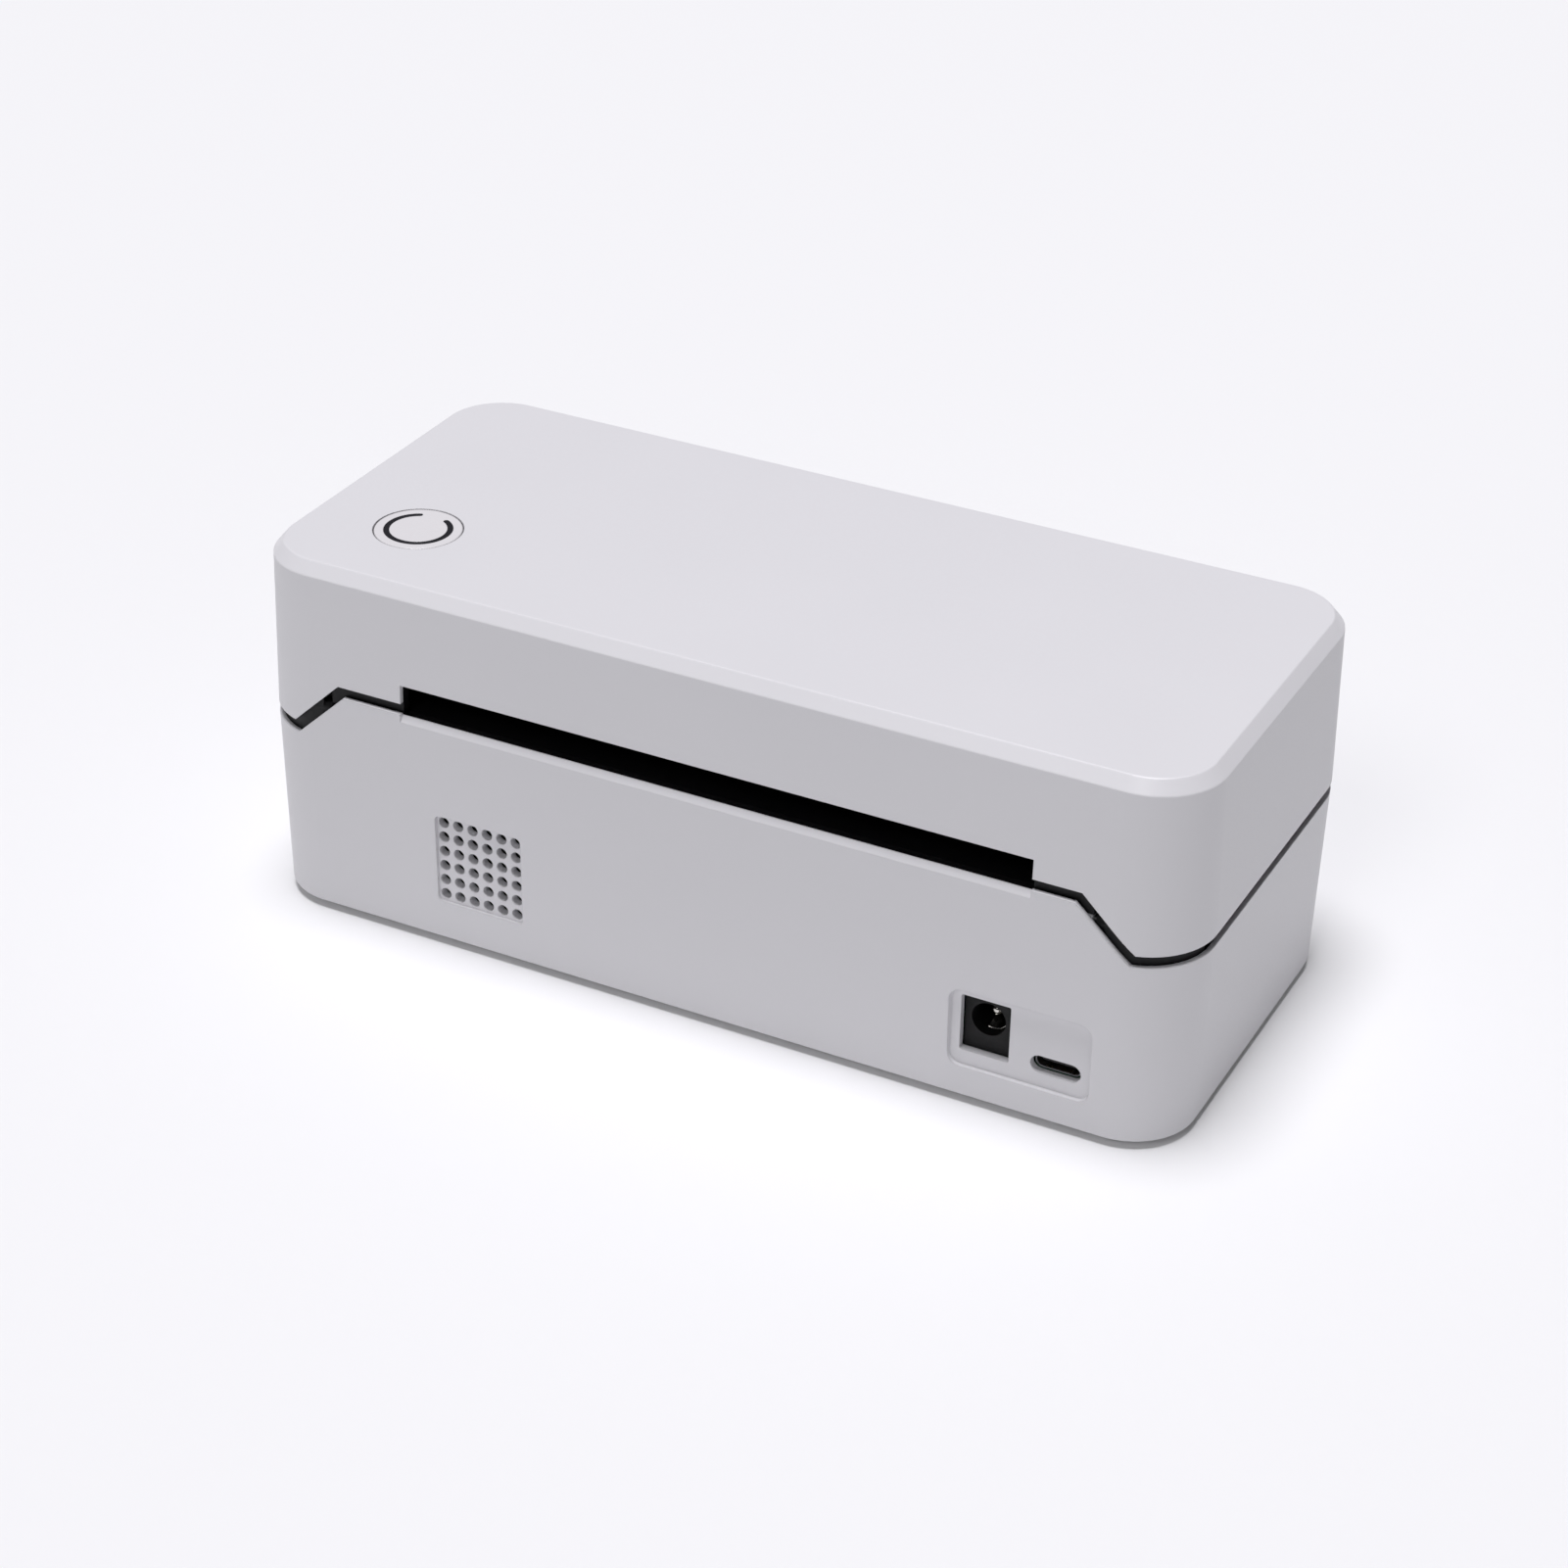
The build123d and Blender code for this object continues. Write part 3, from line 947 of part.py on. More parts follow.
SPRING_WIRE = 0.8
spring_room = POCKET_ROOF - BLOCK_TOP - BRACKET
with BuildPart() as head_springs:
    for x in (-30, 30):
        turns = 4
        start = (PATH_X + x, -24.0, BLOCK_TOP + BRACKET + SPRING_WIRE / 2 + 0.05)
        with BuildLine():
            coil = Helix((spring_room - SPRING_WIRE - 0.1) / turns, spring_room - SPRING_WIRE - 0.1, 2.9,
                         center=start)
        with BuildSketch(Plane(origin=coil @ 0, z_dir=coil % 0)):
            Circle(SPRING_WIRE / 2)
        sweep(is_frenet=True)

finish(head_springs.part, "head_springs")

# ---- feed button: cap with a C-shaped light window, switch, board and lamps ----
CEILING = LID_DEEP
BUTTON_BOARD_Z = (62.6, 64.2)
with BuildPart() as feed_button:
    with BuildSketch(Plane.XY.offset(CEILING - 1.6)):
        with Locations((BUTTON_X, BUTTON_Y)):
            Circle(BUTTON_D / 2 + 0.9)
    extrude(amount=1.4)
    with BuildSketch(Plane.XY.offset(CEILING - 0.2)):
        with Locations((BUTTON_X, BUTTON_Y)):
            Circle(BUTTON_D / 2)
    extrude(amount=TOP - CEILING + 0.2)
    fillet(feed_button.edges().group_by(Axis.Z)[-1], 0.25)
    add(rod_z(BUTTON_X, BUTTON_Y, (66.7, CEILING - 1.5), 4.0))
    with BuildSketch(Plane.XY.offset(CEILING - 3)):
        with Locations((BUTTON_X, BUTTON_Y)):
            SlotArc(CenterArc((0, 0), 5.9, -61, 302), 1.1)
    extrude(amount=8, mode=Mode.SUBTRACT)

finish(feed_button.part, "feed_button")

with BuildPart() as light_window:
    with BuildSketch(Plane.XY.offset(CEILING - 1.6)):
        with Locations((BUTTON_X, BUTTON_Y)):
            SlotArc(CenterArc((0, 0), 5.9, -61, 302), 1.1)
    extrude(amount=TOP - CEILING + 1.6 - 0.05)

finish(light_window.part, "light_window")

with BuildPart() as button_board:
    with BuildSketch(Plane.XY.offset(BUTTON_BOARD_Z[0])):
        with Locations((BUTTON_X, BUTTON_Y)):
            RectangleRounded(30, 18, 2)
            with Locations((-12, 0), (12, 0)):
                Circle(1.1, mode=Mode.SUBTRACT)
    extrude(amount=BUTTON_BOARD_Z[1] - BUTTON_BOARD_Z[0])

finish(button_board.part, "button_board")

with BuildPart() as tact_switch:
    add(bar((BUTTON_X - 3, BUTTON_X + 3), (BUTTON_Y - 3, BUTTON_Y + 3),
            (BUTTON_BOARD_Z[1], BUTTON_BOARD_Z[1] + 1.4)))
    add(rod_z(BUTTON_X, BUTTON_Y, (BUTTON_BOARD_Z[1] + 1.4, BUTTON_BOARD_Z[1] + 1.9), 3.2))

finish(tact_switch.part, "tact_switch")

with BuildPart() as status_lamps:
    with BuildSketch(Plane.XY.offset(BUTTON_BOARD_Z[1])):
        with Locations((BUTTON_X, BUTTON_Y)):
            with PolarLocations(5.9, 4, start_angle=45):
                Rectangle(2.0, 1.2)
    extrude(amount=0.8)

finish(status_lamps.part, "status_lamps")

with BuildPart() as button_screws:
    with Locations(*[(x, y, BUTTON_BOARD_Z[0] - 1.2) for x, y in BUTTON_POSTS]):
        Cylinder(1.8, 1.2, align=(Align.CENTER, Align.CENTER, Align.MIN))
    with Locations(*[(x, y, BUTTON_BOARD_Z[0]) for x, y in BUTTON_POSTS]):
        Cylinder(0.75, 5, align=(Align.CENTER, Align.CENTER, Align.MIN))

finish(button_screws.part, "button_screws")
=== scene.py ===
import bpy
import bmesh
from math import cos, radians, sin
from mathutils import Matrix, Vector


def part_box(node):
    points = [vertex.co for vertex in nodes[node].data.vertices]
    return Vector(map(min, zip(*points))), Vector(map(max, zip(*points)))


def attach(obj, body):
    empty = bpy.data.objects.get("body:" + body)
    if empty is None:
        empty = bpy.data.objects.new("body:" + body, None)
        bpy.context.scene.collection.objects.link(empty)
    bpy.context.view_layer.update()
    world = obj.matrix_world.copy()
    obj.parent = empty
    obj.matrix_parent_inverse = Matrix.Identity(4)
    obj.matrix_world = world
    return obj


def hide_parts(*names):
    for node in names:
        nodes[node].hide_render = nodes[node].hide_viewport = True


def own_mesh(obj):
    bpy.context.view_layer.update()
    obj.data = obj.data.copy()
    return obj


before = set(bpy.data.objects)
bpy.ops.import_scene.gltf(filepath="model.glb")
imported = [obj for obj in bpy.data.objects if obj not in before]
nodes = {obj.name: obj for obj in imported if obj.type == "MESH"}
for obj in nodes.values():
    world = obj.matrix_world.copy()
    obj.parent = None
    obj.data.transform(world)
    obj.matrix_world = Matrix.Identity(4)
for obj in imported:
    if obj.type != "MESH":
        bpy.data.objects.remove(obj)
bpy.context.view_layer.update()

# ---- camera ----
# A short telephoto stands behind the printer, above it and on its left, so the rear face, the left
# end and the top all show. It is tilted by about a degree.
MM = 0.001
AZIMUTH, ELEVATION, TILT = radians(206.54), radians(30.33), radians(1.16)
DISTANCE = 663.3 * MM
AIM = Vector((2.24, 0.98, 29.05)) * MM
LENS_MM = 81.41
SENSOR_MM = 36.0

back = Vector((sin(AZIMUTH) * cos(ELEVATION), -cos(AZIMUTH) * cos(ELEVATION), sin(ELEVATION)))
level = (-back).cross(Vector((0, 0, 1))).normalized()
upright = level.cross(-back)
right = level * cos(TILT) + upright * sin(TILT)
top = upright * cos(TILT) - level * sin(TILT)
camera_data = bpy.data.cameras.new("camera")
camera_data.lens = LENS_MM
camera_data.sensor_width = SENSOR_MM
camera_data.clip_start = 10 * MM
camera = bpy.data.objects.new("camera", camera_data)
bpy.context.scene.collection.objects.link(camera)
turn = Matrix((right, top, back)).transposed().to_4x4()
camera.matrix_world = Matrix.Translation(AIM + back * DISTANCE) @ turn
bpy.context.scene.camera = camera


# ---- room ----
# A pale paper floor in a dim white room, under a large softbox overhead and a weaker one behind.
# The first lights the top, the second the rear wall, and the floor sends soft light up the sides.
def srgb(code):
    """The linear colour of an sRGB hex code, with full alpha."""
    parts = [int(code[i:i + 2], 16) / 255 for i in (0, 2, 4)]
    return [p / 12.92 if p <= 0.04045 else ((p + 0.055) / 1.055) ** 2.4 for p in parts] + [1.0]


def overhead_light(name, lean_x, lean_y, spread, strength, colour):
    """A large, far softbox: an even light from above that leans towards +X and +Y by these slopes."""
    lamp = bpy.data.lights.new(name, "SUN")
    lamp.angle = spread
    lamp.energy = strength
    lamp.color = srgb(colour)[:3]
    stand = bpy.data.objects.new(name, lamp)
    bpy.context.scene.collection.objects.link(stand)
    stand.matrix_world = Vector((lean_x, lean_y, 1.0)).to_track_quat("Z", "Y").to_matrix().to_4x4()


overhead_light("softbox_over", lean_x=0.04, lean_y=0.05, spread=radians(24), strength=3.12, colour="fcfbff")
overhead_light("softbox_rear", lean_x=0.0, lean_y=1.05, spread=radians(18), strength=0.45, colour="ffffff")
world = bpy.data.worlds.new("dim_white_room")
bpy.context.scene.world = world
world.use_nodes = True
room_light = world.node_tree.nodes["Background"]
room_light.inputs["Color"].default_value = srgb("fafafd")
room_light.inputs["Strength"].default_value = 0.04
bpy.context.scene.view_settings.view_transform = "Standard"

FLOOR_RADIUS_M = 15.0
floor_form = bmesh.new()
bmesh.ops.create_circle(floor_form, cap_ends=True, radius=FLOOR_RADIUS_M, segments=96)
floor_data = bpy.data.meshes.new("floor")
floor_form.to_mesh(floor_data)
floor_form.free()
floor = bpy.data.objects.new("floor", floor_data)
bpy.context.scene.collection.objects.link(floor)
# Matt paper: no gloss, with a slight glow that stands for the room's light from all round.
paper = bpy.data.materials.new("matt_white_paper")
paper.use_nodes = True
paper_shader = paper.node_tree.nodes["Principled BSDF"]
paper_shader.inputs["Base Color"].default_value = srgb("e6e6e7")
paper_shader.inputs["Roughness"].default_value = 0.9
paper_shader.inputs["Specular IOR Level"].default_value = 0.1
paper_shader.inputs["Emission Color"].default_value = srgb("ffffff")
paper_shader.inputs["Emission Strength"].default_value = 0.05
floor_data.materials.append(paper)


# ---- base shell ----
# The lower half of the casing is one injection-moulded tub of white ABS, open at the top.
# Its mould was finely eroded, so the gloss is a soft sheen, and its edges are barely broken.
def add(tree, kind, inputs, **settings):
    """One shader node with its settings, and its inputs as numbers, colours or other nodes' outputs."""
    node = tree.nodes.new(kind)
    for key, value in settings.items():
        setattr(node, key, value)
    for key, value in inputs.items():
        if isinstance(value, bpy.types.NodeSocket):
            tree.links.new(value, node.inputs[key])
        else:
            node.inputs[key].default_value = value
    return node


def new_finish(name, colour, rough, metallic=0.0, ior=None):
    """A material with its plain values set, its node tree, its shader and Object coordinates."""
    made = bpy.data.materials.new(name)
    made.use_nodes = True
    tree = made.node_tree
    shader = tree.nodes["Principled BSDF"]
    shader.inputs["Base Color"].default_value = srgb(colour)
    shader.inputs["Roughness"].default_value = rough
    shader.inputs["Metallic"].default_value = metallic
    if ior:
        shader.inputs["IOR"].default_value = ior
    return made, tree, shader, add(tree, "ShaderNodeTexCoord", {}).outputs["Object"]


DRIFT_MM = 35
GLOSS_SWING = 0.06


def moulded(name, colour, shade, rough, grain_mm, relief_mm, edge_mm, ior=1.53, specular=0.5):
    """Moulded plastic: a slow drift of colour, a grain in the gloss and relief, and broken edges."""
    made, tree, shader, place = new_finish(name, colour, rough, ior=ior)
    shader.inputs["Specular IOR Level"].default_value = specular
    drift = add(tree, "ShaderNodeTexNoise", {"Vector": place, "Scale": 1 / (DRIFT_MM * MM), "Detail": 2.0})
    tint = add(tree, "ShaderNodeMix", {0: drift.outputs["Fac"], 6: srgb(colour), 7: srgb(shade)},
               data_type="RGBA")
    grain = add(tree, "ShaderNodeTexNoise", {"Vector": place, "Scale": 1 / (grain_mm * MM), "Detail": 3.0})
    gloss = add(tree, "ShaderNodeMapRange", {0: grain.outputs["Fac"], 1: 0.3, 2: 0.7,
                                             3: rough - GLOSS_SWING, 4: rough + GLOSS_SWING})
    edge = add(tree, "ShaderNodeBevel", {"Radius": edge_mm * MM}, samples=4)
    relief = add(tree, "ShaderNodeBump", {"Strength": 0.6, "Distance": relief_mm * MM,
                                          "Height": grain.outputs["Fac"], "Normal": edge.outputs["Normal"]})
    tree.links.new(tint.outputs[2], shader.inputs["Base Color"])
    tree.links.new(gloss.outputs["Result"], shader.inputs["Roughness"])
    tree.links.new(relief.outputs["Normal"], shader.inputs["Normal"])
    return made


def coat(material, *names):
    """Give every face of these CAD nodes one material."""
    for name in names:
        nodes[name].data.materials.clear()
        nodes[name].data.materials.append(material)


# White ABS, eroded mould: a cool white with a soft sheen. The real grain is about 0.05 mm, too fine
# to show, so it is drawn at 0.4 mm and very shallow.
white_abs = moulded("abs_white_eroded", "dfdee1", "dcdbde", 0.40, 0.4, 0.006, 0.3)
coat(white_abs, "base_shell", "lid_shell")

# ---- rubber feet ----
# Four discs of black rubber, moulded with a matt pebbled skin. They are glued into shallow recesses
# under the base shell.
# Moulded rubber: dull black, paler where it has rubbed on a desk.
PEBBLE_MM = 0.7
PEBBLE_DEEP = 0.05
foot_rubber, tree, shader, place = new_finish("rubber_black_moulded", "1d1d1f", 0.85, ior=1.52)
pebble = add(tree, "ShaderNodeTexVoronoi", {"Vector": place, "Scale": 1 / (PEBBLE_MM * MM)})
rubbed = add(tree, "ShaderNodeTexNoise", {"Vector": place, "Scale": 1 / (4 * MM), "Detail": 4.0})
dusty = add(tree, "ShaderNodeMix", {0: rubbed.outputs["Fac"], 6: srgb("18181a"), 7: srgb("3a3a3c")},
            data_type="RGBA")
skin = add(tree, "ShaderNodeBump", {"Strength": 0.7, "Distance": PEBBLE_DEEP * MM,
                                    "Height": pebble.outputs["Distance"]})
tree.links.new(dusty.outputs[2], shader.inputs["Base Color"])
tree.links.new(skin.outputs["Normal"], shader.inputs["Normal"])
coat(foot_rubber, "rubber_feet")

# ---- rating label ----
# A blank label of silvered polyester film, printed with a thin frame and stuck under the floor.
# It is 0.12 mm thick with rounded corners, and has no lettering.
LABEL_X, LABEL_Y = (-32.0, 32.0), (-14.0, 20.0)
LABEL_THICK = 0.12
LABEL_CORNER = 1.5
FRAME_INSET = 1.6
FRAME_HALF_LINE = 0.15

under_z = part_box("base_shell")[0][2]
label_middle = Vector((sum(LABEL_X) / 2, sum(LABEL_Y) / 2, 0)) * MM
label_size = Vector((LABEL_X[1] - LABEL_X[0], LABEL_Y[1] - LABEL_Y[0], LABEL_THICK)) * MM
label_form = bmesh.new()
bmesh.ops.create_cube(label_form, size=1.0)
bmesh.ops.scale(label_form, vec=label_size, verts=label_form.verts)
upright_edges = [edge for edge in label_form.edges
                 if abs(edge.verts[0].co.z - edge.verts[1].co.z) > LABEL_THICK * MM / 2]
bmesh.ops.bevel(label_form, geom=upright_edges, offset=LABEL_CORNER * MM, segments=6, profile=0.5,
                affect="EDGES", material=-1)
bmesh.ops.translate(label_form, vec=label_middle + Vector((0, 0, under_z - LABEL_THICK * MM / 2)),
                    verts=label_form.verts)
# Silvered polyester film: pale metallic grey with a satin surface, and a printed dark frame.
film, tree, shader, place = new_finish("polyester_film_silvered", "c9cbcd", 0.38, 0.4)
centred = add(tree, "ShaderNodeMapping", {"Vector": place, "Location": -label_middle})
apart = add(tree, "ShaderNodeSeparateXYZ", {0: centred.outputs[0]})
lines = []
for axis, size in (("X", label_size.x), ("Y", label_size.y)):
    away = add(tree, "ShaderNodeMath", {0: apart.outputs[axis]}, operation="ABSOLUTE")
    inside = add(tree, "ShaderNodeMath", {0: away.outputs[0], 1: size / 2 - FRAME_INSET * MM},
                 operation="SUBTRACT")
    lines.append(inside.outputs[0])
to_frame = add(tree, "ShaderNodeMath", {0: lines[0], 1: lines[1]}, operation="MAXIMUM")
printed = add(tree, "ShaderNodeMath", {0: to_frame.outputs[0], 1: 0.0, 2: FRAME_HALF_LINE * MM},
              operation="COMPARE")
haze = add(tree, "ShaderNodeTexNoise", {"Vector": place, "Scale": 1 / (6 * MM), "Detail": 3.0})
foil = add(tree, "ShaderNodeMix", {0: haze.outputs["Fac"], 6: srgb("c4c6c9"), 7: srgb("d0d2d4")},
           data_type="RGBA")
ink = add(tree, "ShaderNodeMix", {0: printed.outputs[0], 6: foil.outputs[2], 7: srgb("2a2a2c")},
          data_type="RGBA")
tree.links.new(ink.outputs[2], shader.inputs["Base Color"])


def fit_piece(form, name, material, body, rounded=False):
    """Turn a modelled form into a piece with its finish, riding on its body."""
    data = bpy.data.meshes.new(name)
    bmesh.ops.recalc_face_normals(form, faces=form.faces)
    for face in form.faces:
        face.smooth = rounded
    form.to_mesh(data)
    form.free()
    data.materials.append(material)
    piece = bpy.data.objects.new(name, data)
    bpy.context.scene.collection.objects.link(piece)
    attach(piece, body)
    return piece


fit_piece(label_form, "rating_label", film, "root")

# ---- speaker ----
# A small cone speaker clipped behind the grille: a pressed black frame round a treated paper cone.
# Black paper cone: dull, with faint rings round its middle.
RING_MM = 12
RING_DEEP = 0.1
speaker_low, speaker_high = (Vector(corner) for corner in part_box("speaker"))
cone_paper, tree, shader, place = new_finish("paper_cone_black", "1b1b1d", 0.7, ior=1.5)
centred = add(tree, "ShaderNodeMapping", {"Vector": place, "Location": -(speaker_low + speaker_high) / 2})
rings = add(tree, "ShaderNodeTexWave", {"Vector": centred.outputs[0], "Scale": 1 / (RING_MM * MM)},
            wave_type="RINGS", rings_direction="Y")
ripple = add(tree, "ShaderNodeBump", {"Strength": 0.5, "Distance": RING_DEEP * MM,
                                      "Height": rings.outputs["Fac"]})
tree.links.new(ripple.outputs["Normal"], shader.inputs["Normal"])
coat(cone_paper, "speaker")

# ---- main board ----
# A glass-epoxy board on four posts, with green solder mask over its copper traces.
# Solder mask on copper: glossy green, a shade lighter and slightly raised over each trace.
TRACE_PITCH = 2.4
TRACE_THICK = 0.035
mask_green, tree, shader, place = new_finish("glass_epoxy_green_mask", "1c5a38", 0.3, ior=1.55)
traces = add(tree, "ShaderNodeTexBrick", {"Vector": place, "Scale": 1 / (TRACE_PITCH * MM),
                                          "Mortar Size": 0.09, "Mortar Smooth": 0.2,
                                          "Brick Width": 1.6, "Row Height": 0.45,
                                          "Color1": srgb("17502f"), "Color2": srgb("1b5835"),
                                          "Mortar": srgb("2f7a4c")})
raised = add(tree, "ShaderNodeBump", {"Strength": 0.5, "Distance": TRACE_THICK * MM,
                                      "Height": traces.outputs["Fac"]})
tree.links.new(traces.outputs["Color"], shader.inputs["Base Color"])
tree.links.new(raised.outputs["Normal"], shader.inputs["Normal"])
coat(mask_green, "main_board", "button_board")

# ---- chips, capacitors and sockets on the board ----
# Chips are transfer-moulded epoxy. Capacitors are aluminium cans in a shrunk sleeve, bare on top.
# The sockets are natural nylon, and all are soldered to the board.
# Moulded epoxy: a dead matt black with a fine sparkle of filler.
chip_epoxy = moulded("epoxy_black_transfer_moulded", "1b1b1e", "212124", 0.62, 0.25, 0.01, 0.08, ior=1.56)
coat(chip_epoxy, "board_chips")
# Sleeved can: a dark blue vinyl sleeve that turns to bright aluminium on the top face.
NEARLY_SQUARE = 0.9
can, tree, shader, place = new_finish("aluminium_can_sleeved", "22304a", 0.35)
facing = add(tree, "ShaderNodeSeparateXYZ", {0: add(tree, "ShaderNodeNewGeometry", {}).outputs["Normal"]})
bare = add(tree, "ShaderNodeMath", {0: facing.outputs["Z"], 1: NEARLY_SQUARE}, operation="GREATER_THAN")
drift = add(tree, "ShaderNodeTexNoise", {"Vector": place, "Scale": 1 / (1.5 * MM)})
vinyl = add(tree, "ShaderNodeMix", {0: drift.outputs["Fac"], 6: srgb("1d2a42"), 7: srgb("27365a")},
            data_type="RGBA")
can_colour = add(tree, "ShaderNodeMix", {0: bare.outputs[0], 6: vinyl.outputs[2], 7: srgb("cfd1d3")},
                 data_type="RGBA")
tree.links.new(can_colour.outputs[2], shader.inputs["Base Color"])
tree.links.new(bare.outputs[0], shader.inputs["Metallic"])
coat(can, "capacitors")
# Natural nylon: creamy and slightly waxy.
nylon = moulded("nylon_natural_moulded", "e6e2d4", "ded9c8", 0.45, 0.6, 0.004, 0.1)
coat(nylon, "board_sockets", "head_socket")

# ---- power inlet ----
# A barrel jack moulded in black polyester and soldered to the board's edge. It holds a nickel-plated
# brass pin and a sprung side contact.
# Black polyester with a sanded mould face: deeper black than the frame, with little gloss.
jack_black = moulded("polyester_black_moulded", "070708", "0a0a0b", 0.55, 0.5, 0.003, 0.12, specular=0.25)
coat(jack_black, "dc_jack")

POLISHED, SCUFFED = 0.75, 1.3


def worked_metal(name, colour, shade, rough, marks_mm, depth_mm, edge_mm=0.08):
    """Bare or plated metal: tool marks stretched along an axis, and small changes of colour and gloss."""
    made, tree, shader, place = new_finish(name, colour, rough, 1.0)
    marks = add(tree, "ShaderNodeMapping", {"Vector": place, "Scale": [1 / (m * MM) for m in marks_mm]})
    lines = add(tree, "ShaderNodeTexNoise", {"Vector": marks.outputs[0], "Scale": 1.0, "Detail": 3.0})
    tone = add(tree, "ShaderNodeMix", {0: lines.outputs["Fac"], 6: srgb(colour), 7: srgb(shade)},
               data_type="RGBA")
    gloss = add(tree, "ShaderNodeMapRange", {0: lines.outputs["Fac"], 1: 0.25, 2: 0.75,
                                             3: rough * POLISHED, 4: rough * SCUFFED})
    edge = add(tree, "ShaderNodeBevel", {"Radius": edge_mm * MM}, samples=4)
    cut = add(tree, "ShaderNodeBump", {"Strength": 0.5, "Distance": depth_mm * MM,
                                       "Height": lines.outputs["Fac"], "Normal": edge.outputs["Normal"]})
    tree.links.new(tone.outputs[2], shader.inputs["Base Color"])
    tree.links.new(gloss.outputs["Result"], shader.inputs["Roughness"])
    tree.links.new(cut.outputs["Normal"], shader.inputs["Normal"])
    return made


# Bright nickel plate: near-white and mirror-like, with faint drawing lines.
nickel = worked_metal("nickel_plate_bright", "d2d0cb", "c6c3bc", 0.16, (2.0, 6.0, 0.3), 0.002)
# The pin has a domed end, and the sleeve contact is a leaf that bows into the bore and flares at its
# lip. Both outlines give distance from the jack's rear face, inwards as minus, and radius.
PIN_TIP = -2.8
PIN_ROUND = [(-9.4, 0.0), (-9.4, 1.0), (PIN_TIP - 0.9, 1.0), (PIN_TIP - 0.5, 0.92), (PIN_TIP - 0.22, 0.74),
             (PIN_TIP - 0.05, 0.45), (PIN_TIP, 0.0)]
LEAF_BOW = [(-9.3, 3.12), (-8.4, 2.9), (-7.4, 2.5), (-6.4, 2.15), (-5.4, 2.0), (-4.5, 2.08),
            (-3.6, 2.4), (-2.9, 2.78), (-2.3, 3.12), (-2.05, 3.16)]
LEAF_THICK = 0.2
LEAF_START, LEAF_SWEEP = radians(-20), radians(125)
BORE_BELOW_TOP = 4.6
FULL_TURN = radians(360)
WELD = 0.001

jack_low, jack_high = (Vector(corner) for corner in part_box("dc_jack"))
bore = Vector(((jack_low.x + jack_high.x) / 2, jack_high.y, jack_high.z - BORE_BELOW_TOP * MM))


def turned(outline, start, sweep, steps):
    """A form swept round the bore's axis from an outline of distances and radii."""
    form = bmesh.new()
    down = Matrix.Rotation(start, 3, "Y") @ Vector((0, 0, -1))
    rim = [form.verts.new(bore + Vector((0, along * MM, 0)) + down * radius * MM)
           for along, radius in outline]
    line = [form.edges.new(pair) for pair in zip(rim, rim[1:])]
    bmesh.ops.spin(form, geom=rim + line, cent=bore, axis=(0, 1, 0), angle=sweep, steps=steps,
                   use_merge=sweep == FULL_TURN, dvec=(0, 0, 0))
    bmesh.ops.remove_doubles(form, verts=form.verts, dist=WELD * MM)
    return form


pin_form = turned(PIN_ROUND, 0.0, FULL_TURN, 32)
pin = fit_piece(pin_form, "jack_pin", nickel, "root", rounded=True)
leaf_form = turned(LEAF_BOW, LEAF_START, LEAF_SWEEP, 20)
bmesh.ops.recalc_face_normals(leaf_form, faces=leaf_form.faces)
bmesh.ops.solidify(leaf_form, geom=leaf_form.faces[:], thickness=LEAF_THICK * MM)
fit_piece(leaf_form, "jack_sleeve_contact", nickel, "root", rounded=True)
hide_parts("dc_jack_contacts")

# ---- data port ----
# A drawn stainless shell round a tongue of black liquid-crystal polymer with gold-plated contacts.
# It is soldered to the board's edge beside the power inlet.
# Drawn stainless steel: grey and satin, with lines along the draw.
stainless = worked_metal("stainless_drawn", "a9aaab", "9b9c9e", 0.3, (0.3, 8.0, 0.3), 0.002)
coat(stainless, "usb_c_shell")
# Tongue: black polymer with a row of gold contacts, 0.5 mm apart, on its flat faces.
CONTACT_PITCH = 0.5
tongue, tree, shader, place = new_finish("polymer_black_gold_contacts", "111113", 0.4, ior=1.6)
apart = add(tree, "ShaderNodeSeparateXYZ", {0: place})
facing = add(tree, "ShaderNodeSeparateXYZ", {0: add(tree, "ShaderNodeNewGeometry", {}).outputs["Normal"]})
steps = add(tree, "ShaderNodeMath", {0: apart.outputs["X"], 1: 1 / (CONTACT_PITCH * MM)},
            operation="MULTIPLY")
part_way = add(tree, "ShaderNodeMath", {0: steps.outputs[0]}, operation="FRACT")
on_strip = add(tree, "ShaderNodeMath", {0: part_way.outputs[0], 1: 0.5}, operation="LESS_THAN")
flat = add(tree, "ShaderNodeMath", {0: facing.outputs["Z"]}, operation="ABSOLUTE")
on_face = add(tree, "ShaderNodeMath", {0: flat.outputs[0], 1: NEARLY_SQUARE}, operation="GREATER_THAN")
gold = add(tree, "ShaderNodeMath", {0: on_strip.outputs[0], 1: on_face.outputs[0]}, operation="MULTIPLY")
plated = add(tree, "ShaderNodeMix", {0: gold.outputs[0], 6: srgb("111113"), 7: srgb("d9b25a")},
             data_type="RGBA")
tree.links.new(plated.outputs[2], shader.inputs["Base Color"])
tree.links.new(gold.outputs[0], shader.inputs["Metallic"])
coat(tongue, "usb_c_tongue")

# ---- motor ----
# A stepper in a pressed, zinc-plated can, screwed to the gear plate, with a turned brass pinion on
# its ground steel shaft.
# Zinc plate on sheet steel: bluish grey with cloudy patches.
zinc = worked_metal("zinc_plate_on_sheet_steel", "b9bdc2", "a7acb3", 0.34, (5.0, 5.0, 5.0), 0.004, 0.12)
coat(zinc, "motor_body", "gear_plate", "head_bracket")
# Ground steel: bright, with rings round the shaft, which lies along X.
ground_steel = worked_metal("steel_ground", "c2c3c4", "b1b2b4", 0.2, (0.2, 12.0, 12.0), 0.002)
coat(ground_steel, "motor_shaft", "platen_shaft", "idler_stud", "hinge_pins", "striker_pins", "head_pivots")
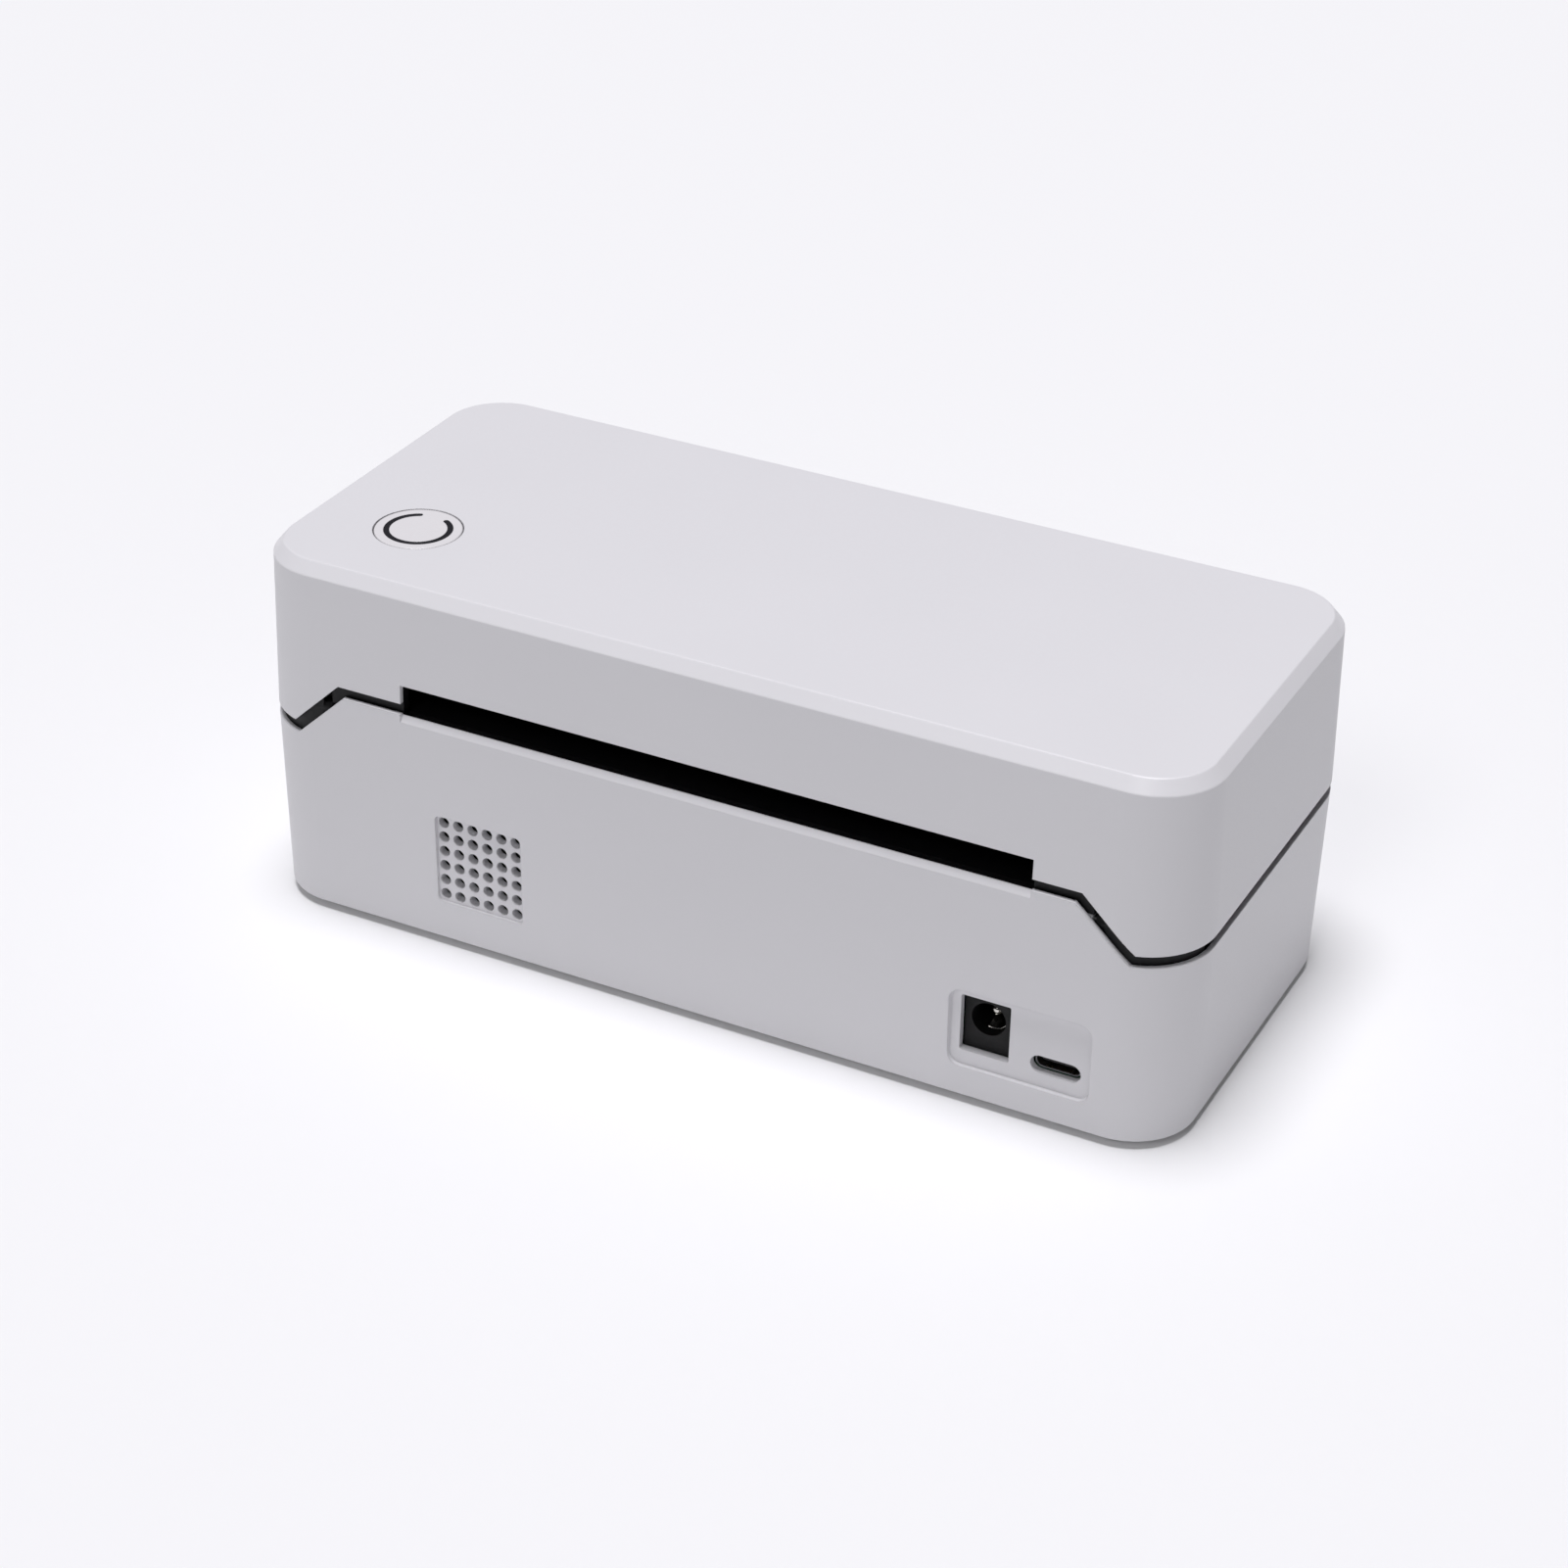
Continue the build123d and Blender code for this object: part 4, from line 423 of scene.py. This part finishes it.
# Turned brass: yellow, with rings from the lathe.
turned_brass = worked_metal("brass_turned", "cfa95f", "bd9650", 0.26, (0.25, 10.0, 10.0), 0.003)
coat(turned_brass, "motor_pinion")

# ---- screws ----
# Cold-headed steel screws, zinc-plated and passivated. They were tumbled in plating, so their edges
# are soft.
# Passivated zinc: pale grey with a slight yellow cast.
screw_zinc = worked_metal("zinc_passivated_on_steel", "bcbdb8", "a9aaa3", 0.32, (0.6, 0.6, 0.6), 0.004)
coat(screw_zinc, "motor_screws", "pinion_screw", "board_screws", "frame_screws", "lid_screws",
     "button_screws")

# ---- gears ----
# Moulded in natural acetal. The idler runs on a turned stud and the platen gear is pressed on a flat.
# Natural acetal: warm white, smooth and slightly greasy.
acetal = moulded("acetal_natural_moulded", "e7e3d8", "ddd8ca", 0.34, 0.8, 0.003, 0.08, ior=1.48)
coat(acetal, "idler_gear", "platen_gear", "guide_pinion")

# ---- platen bushes ----
# Two plain bearings of pressed and sintered bronze, soaked in oil. They sit in the cheeks of the
# base frame.
# Sintered bronze: dull brown-gold with fine pores.
bronze = worked_metal("bronze_sintered", "a67d4e", "8f693f", 0.5, (0.35, 0.35, 0.35), 0.02)
coat(bronze, "platen_bushes")

# ---- platen ----
# The roller that feeds the labels: silicone rubber cast on a ground steel shaft, then ground to
# size, so that it grips the label's back.
# Ground silicone rubber: dark grey and dull, with fine rings left by the wheel.
WHEEL_MARK_MM = (0.35, 9.0, 9.0)
roller_rubber, tree, shader, place = new_finish("silicone_rubber_ground", "2d2e30", 0.72, ior=1.43)
wheel_marks = add(tree, "ShaderNodeMapping", {"Vector": place,
                                              "Scale": [1 / (m * MM) for m in WHEEL_MARK_MM]})
rings = add(tree, "ShaderNodeTexNoise", {"Vector": wheel_marks.outputs[0], "Scale": 1.0, "Detail": 4.0})
tone = add(tree, "ShaderNodeMix", {0: rings.outputs["Fac"], 6: srgb("272829"), 7: srgb("35363a")},
           data_type="RGBA")
relief = add(tree, "ShaderNodeBump", {"Strength": 0.6, "Distance": 0.02 * MM,
                                      "Height": rings.outputs["Fac"]})
tree.links.new(tone.outputs[2], shader.inputs["Base Color"])
tree.links.new(relief.outputs["Normal"], shader.inputs["Normal"])
coat(roller_rubber, "platen_rubber")

# ---- base frame and label guides ----
# The frame is one moulding of black ABS: deck, rim and bearing cheeks, screwed up through the floor.
# Two guides slide in it on racks, and one pinion keeps them centred.
# Black ABS, eroded mould: charcoal with a soft sheen that picks out edges.
black_abs = moulded("abs_black_eroded", "121214", "0f0f11", 0.45, 0.4, 0.008, 0.2, specular=0.22)
coat(black_abs, "base_frame", "lid_frame", "guide_left", "guide_right")

# ---- gap sensor ----
# A lamp under the deck and a receiver in the lid, each in a tinted polycarbonate cap. The switch
# under the feed button has the same finish.
# Tinted polycarbonate: black, smooth and glossy.
tinted = moulded("polycarbonate_black_tinted", "0c0c10", "0e0e13", 0.12, 1.5, 0.002, 0.1, ior=1.58)
coat(tinted, "gap_emitter", "gap_receiver", "tact_switch")

# ---- catches, head springs and tear bar ----
# The clips and the tear bar are blanked from spring steel strip. The clips snap over the lid's pins.
# Two coils of spring wire press the head down on the platen.
# Spring steel: a darker grey, with faint rolling lines.
spring_steel = worked_metal("spring_steel_rolled", "a6a8ab", "94969a", 0.34, (6.0, 0.5, 0.5), 0.0006)
coat(spring_steel, "catch_clips", "tear_bar")
coil_form = bmesh.new()
coil_form.from_mesh(nodes["head_springs"].data)
bmesh.ops.remove_doubles(coil_form, verts=coil_form.verts, dist=WELD * MM)
coils = fit_piece(coil_form, "head_coils", spring_steel, "lid", rounded=True)
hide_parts("head_springs")
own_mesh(coils)

# ---- print head ----
# A glazed alumina strip with a line of heaters, glued to an aluminium block that hangs in the lid.
# A resin cover hides its driver chips.
# Extruded aluminium: pale grey with fine lines along X.
extruded = worked_metal("aluminium_extruded", "c4c6c8", "b5b7ba", 0.36, (30.0, 0.35, 0.35), 0.006, 0.15)
coat(extruded, "head_block")
# Glazed alumina: smooth cream, with a brown glass line over the heaters.
HEATER_HALF = 0.45
platen_low, platen_high = (Vector(corner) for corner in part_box("platen_rubber"))
alumina, tree, shader, place = new_finish("alumina_glazed", "dcd6c6", 0.18, ior=1.76)
apart = add(tree, "ShaderNodeSeparateXYZ", {0: place})
heaters = add(tree, "ShaderNodeMath", {0: apart.outputs["Y"], 1: (platen_low.y + platen_high.y) / 2,
                                       2: HEATER_HALF * MM}, operation="COMPARE")
cloud = add(tree, "ShaderNodeTexNoise", {"Vector": place, "Scale": 1 / (3 * MM)})
fired = add(tree, "ShaderNodeMix", {0: cloud.outputs["Fac"], 6: srgb("dcd6c6"), 7: srgb("d2ccba")},
            data_type="RGBA")
glazed = add(tree, "ShaderNodeMix", {0: heaters.outputs[0], 6: fired.outputs[2], 7: srgb("5a3a22")},
             data_type="RGBA")
tree.links.new(glazed.outputs[2], shader.inputs["Base Color"])
coat(alumina, "head_ceramic")
# Poured resin: glossy black with a slow wave in its surface.
WAVE_MM = 5
WAVE_DEEP = 0.15
resin, tree, shader, place = new_finish("resin_black_poured", "0f0f11", 0.15, ior=1.55)
pour = add(tree, "ShaderNodeTexNoise", {"Vector": place, "Scale": 1 / (WAVE_MM * MM), "Detail": 1.0})
wavy = add(tree, "ShaderNodeBump", {"Strength": 0.8, "Distance": WAVE_DEEP * MM,
                                    "Height": pour.outputs["Fac"]})
tree.links.new(wavy.outputs["Normal"], shader.inputs["Normal"])
coat(resin, "head_driver_cover")

# ---- feed button and its light ring ----
# The button is a white ABS cap over a small switch. A smoked polycarbonate ring, open on one side,
# is moulded into it and carries light from two lamps on the button board.
# White ABS, polished mould: a touch warmer and glossier than the casing.
cap_abs = moulded("abs_white_polished", "e2e0e2", "dfdddf", 0.3, 0.6, 0.003, 0.25)
coat(cap_abs, "feed_button")
# Smoked polycarbonate: dark grey and smooth, under a clear gloss.
smoked = moulded("polycarbonate_smoked", "2b2b2f", "27272b", 0.2, 1.0, 0.002, 0.08, ior=1.58)
coat(smoked, "light_window")
# Clear lamp epoxy: water-clear with a faint yellow cast.
lamp_epoxy = moulded("epoxy_clear_lamp", "e9e6cf", "e4e0c4", 0.12, 1.0, 0.002, 0.1, ior=1.52)
lamp_epoxy.node_tree.nodes["Principled BSDF"].inputs["Transmission Weight"].default_value = 0.5
coat(lamp_epoxy, "status_lamps")
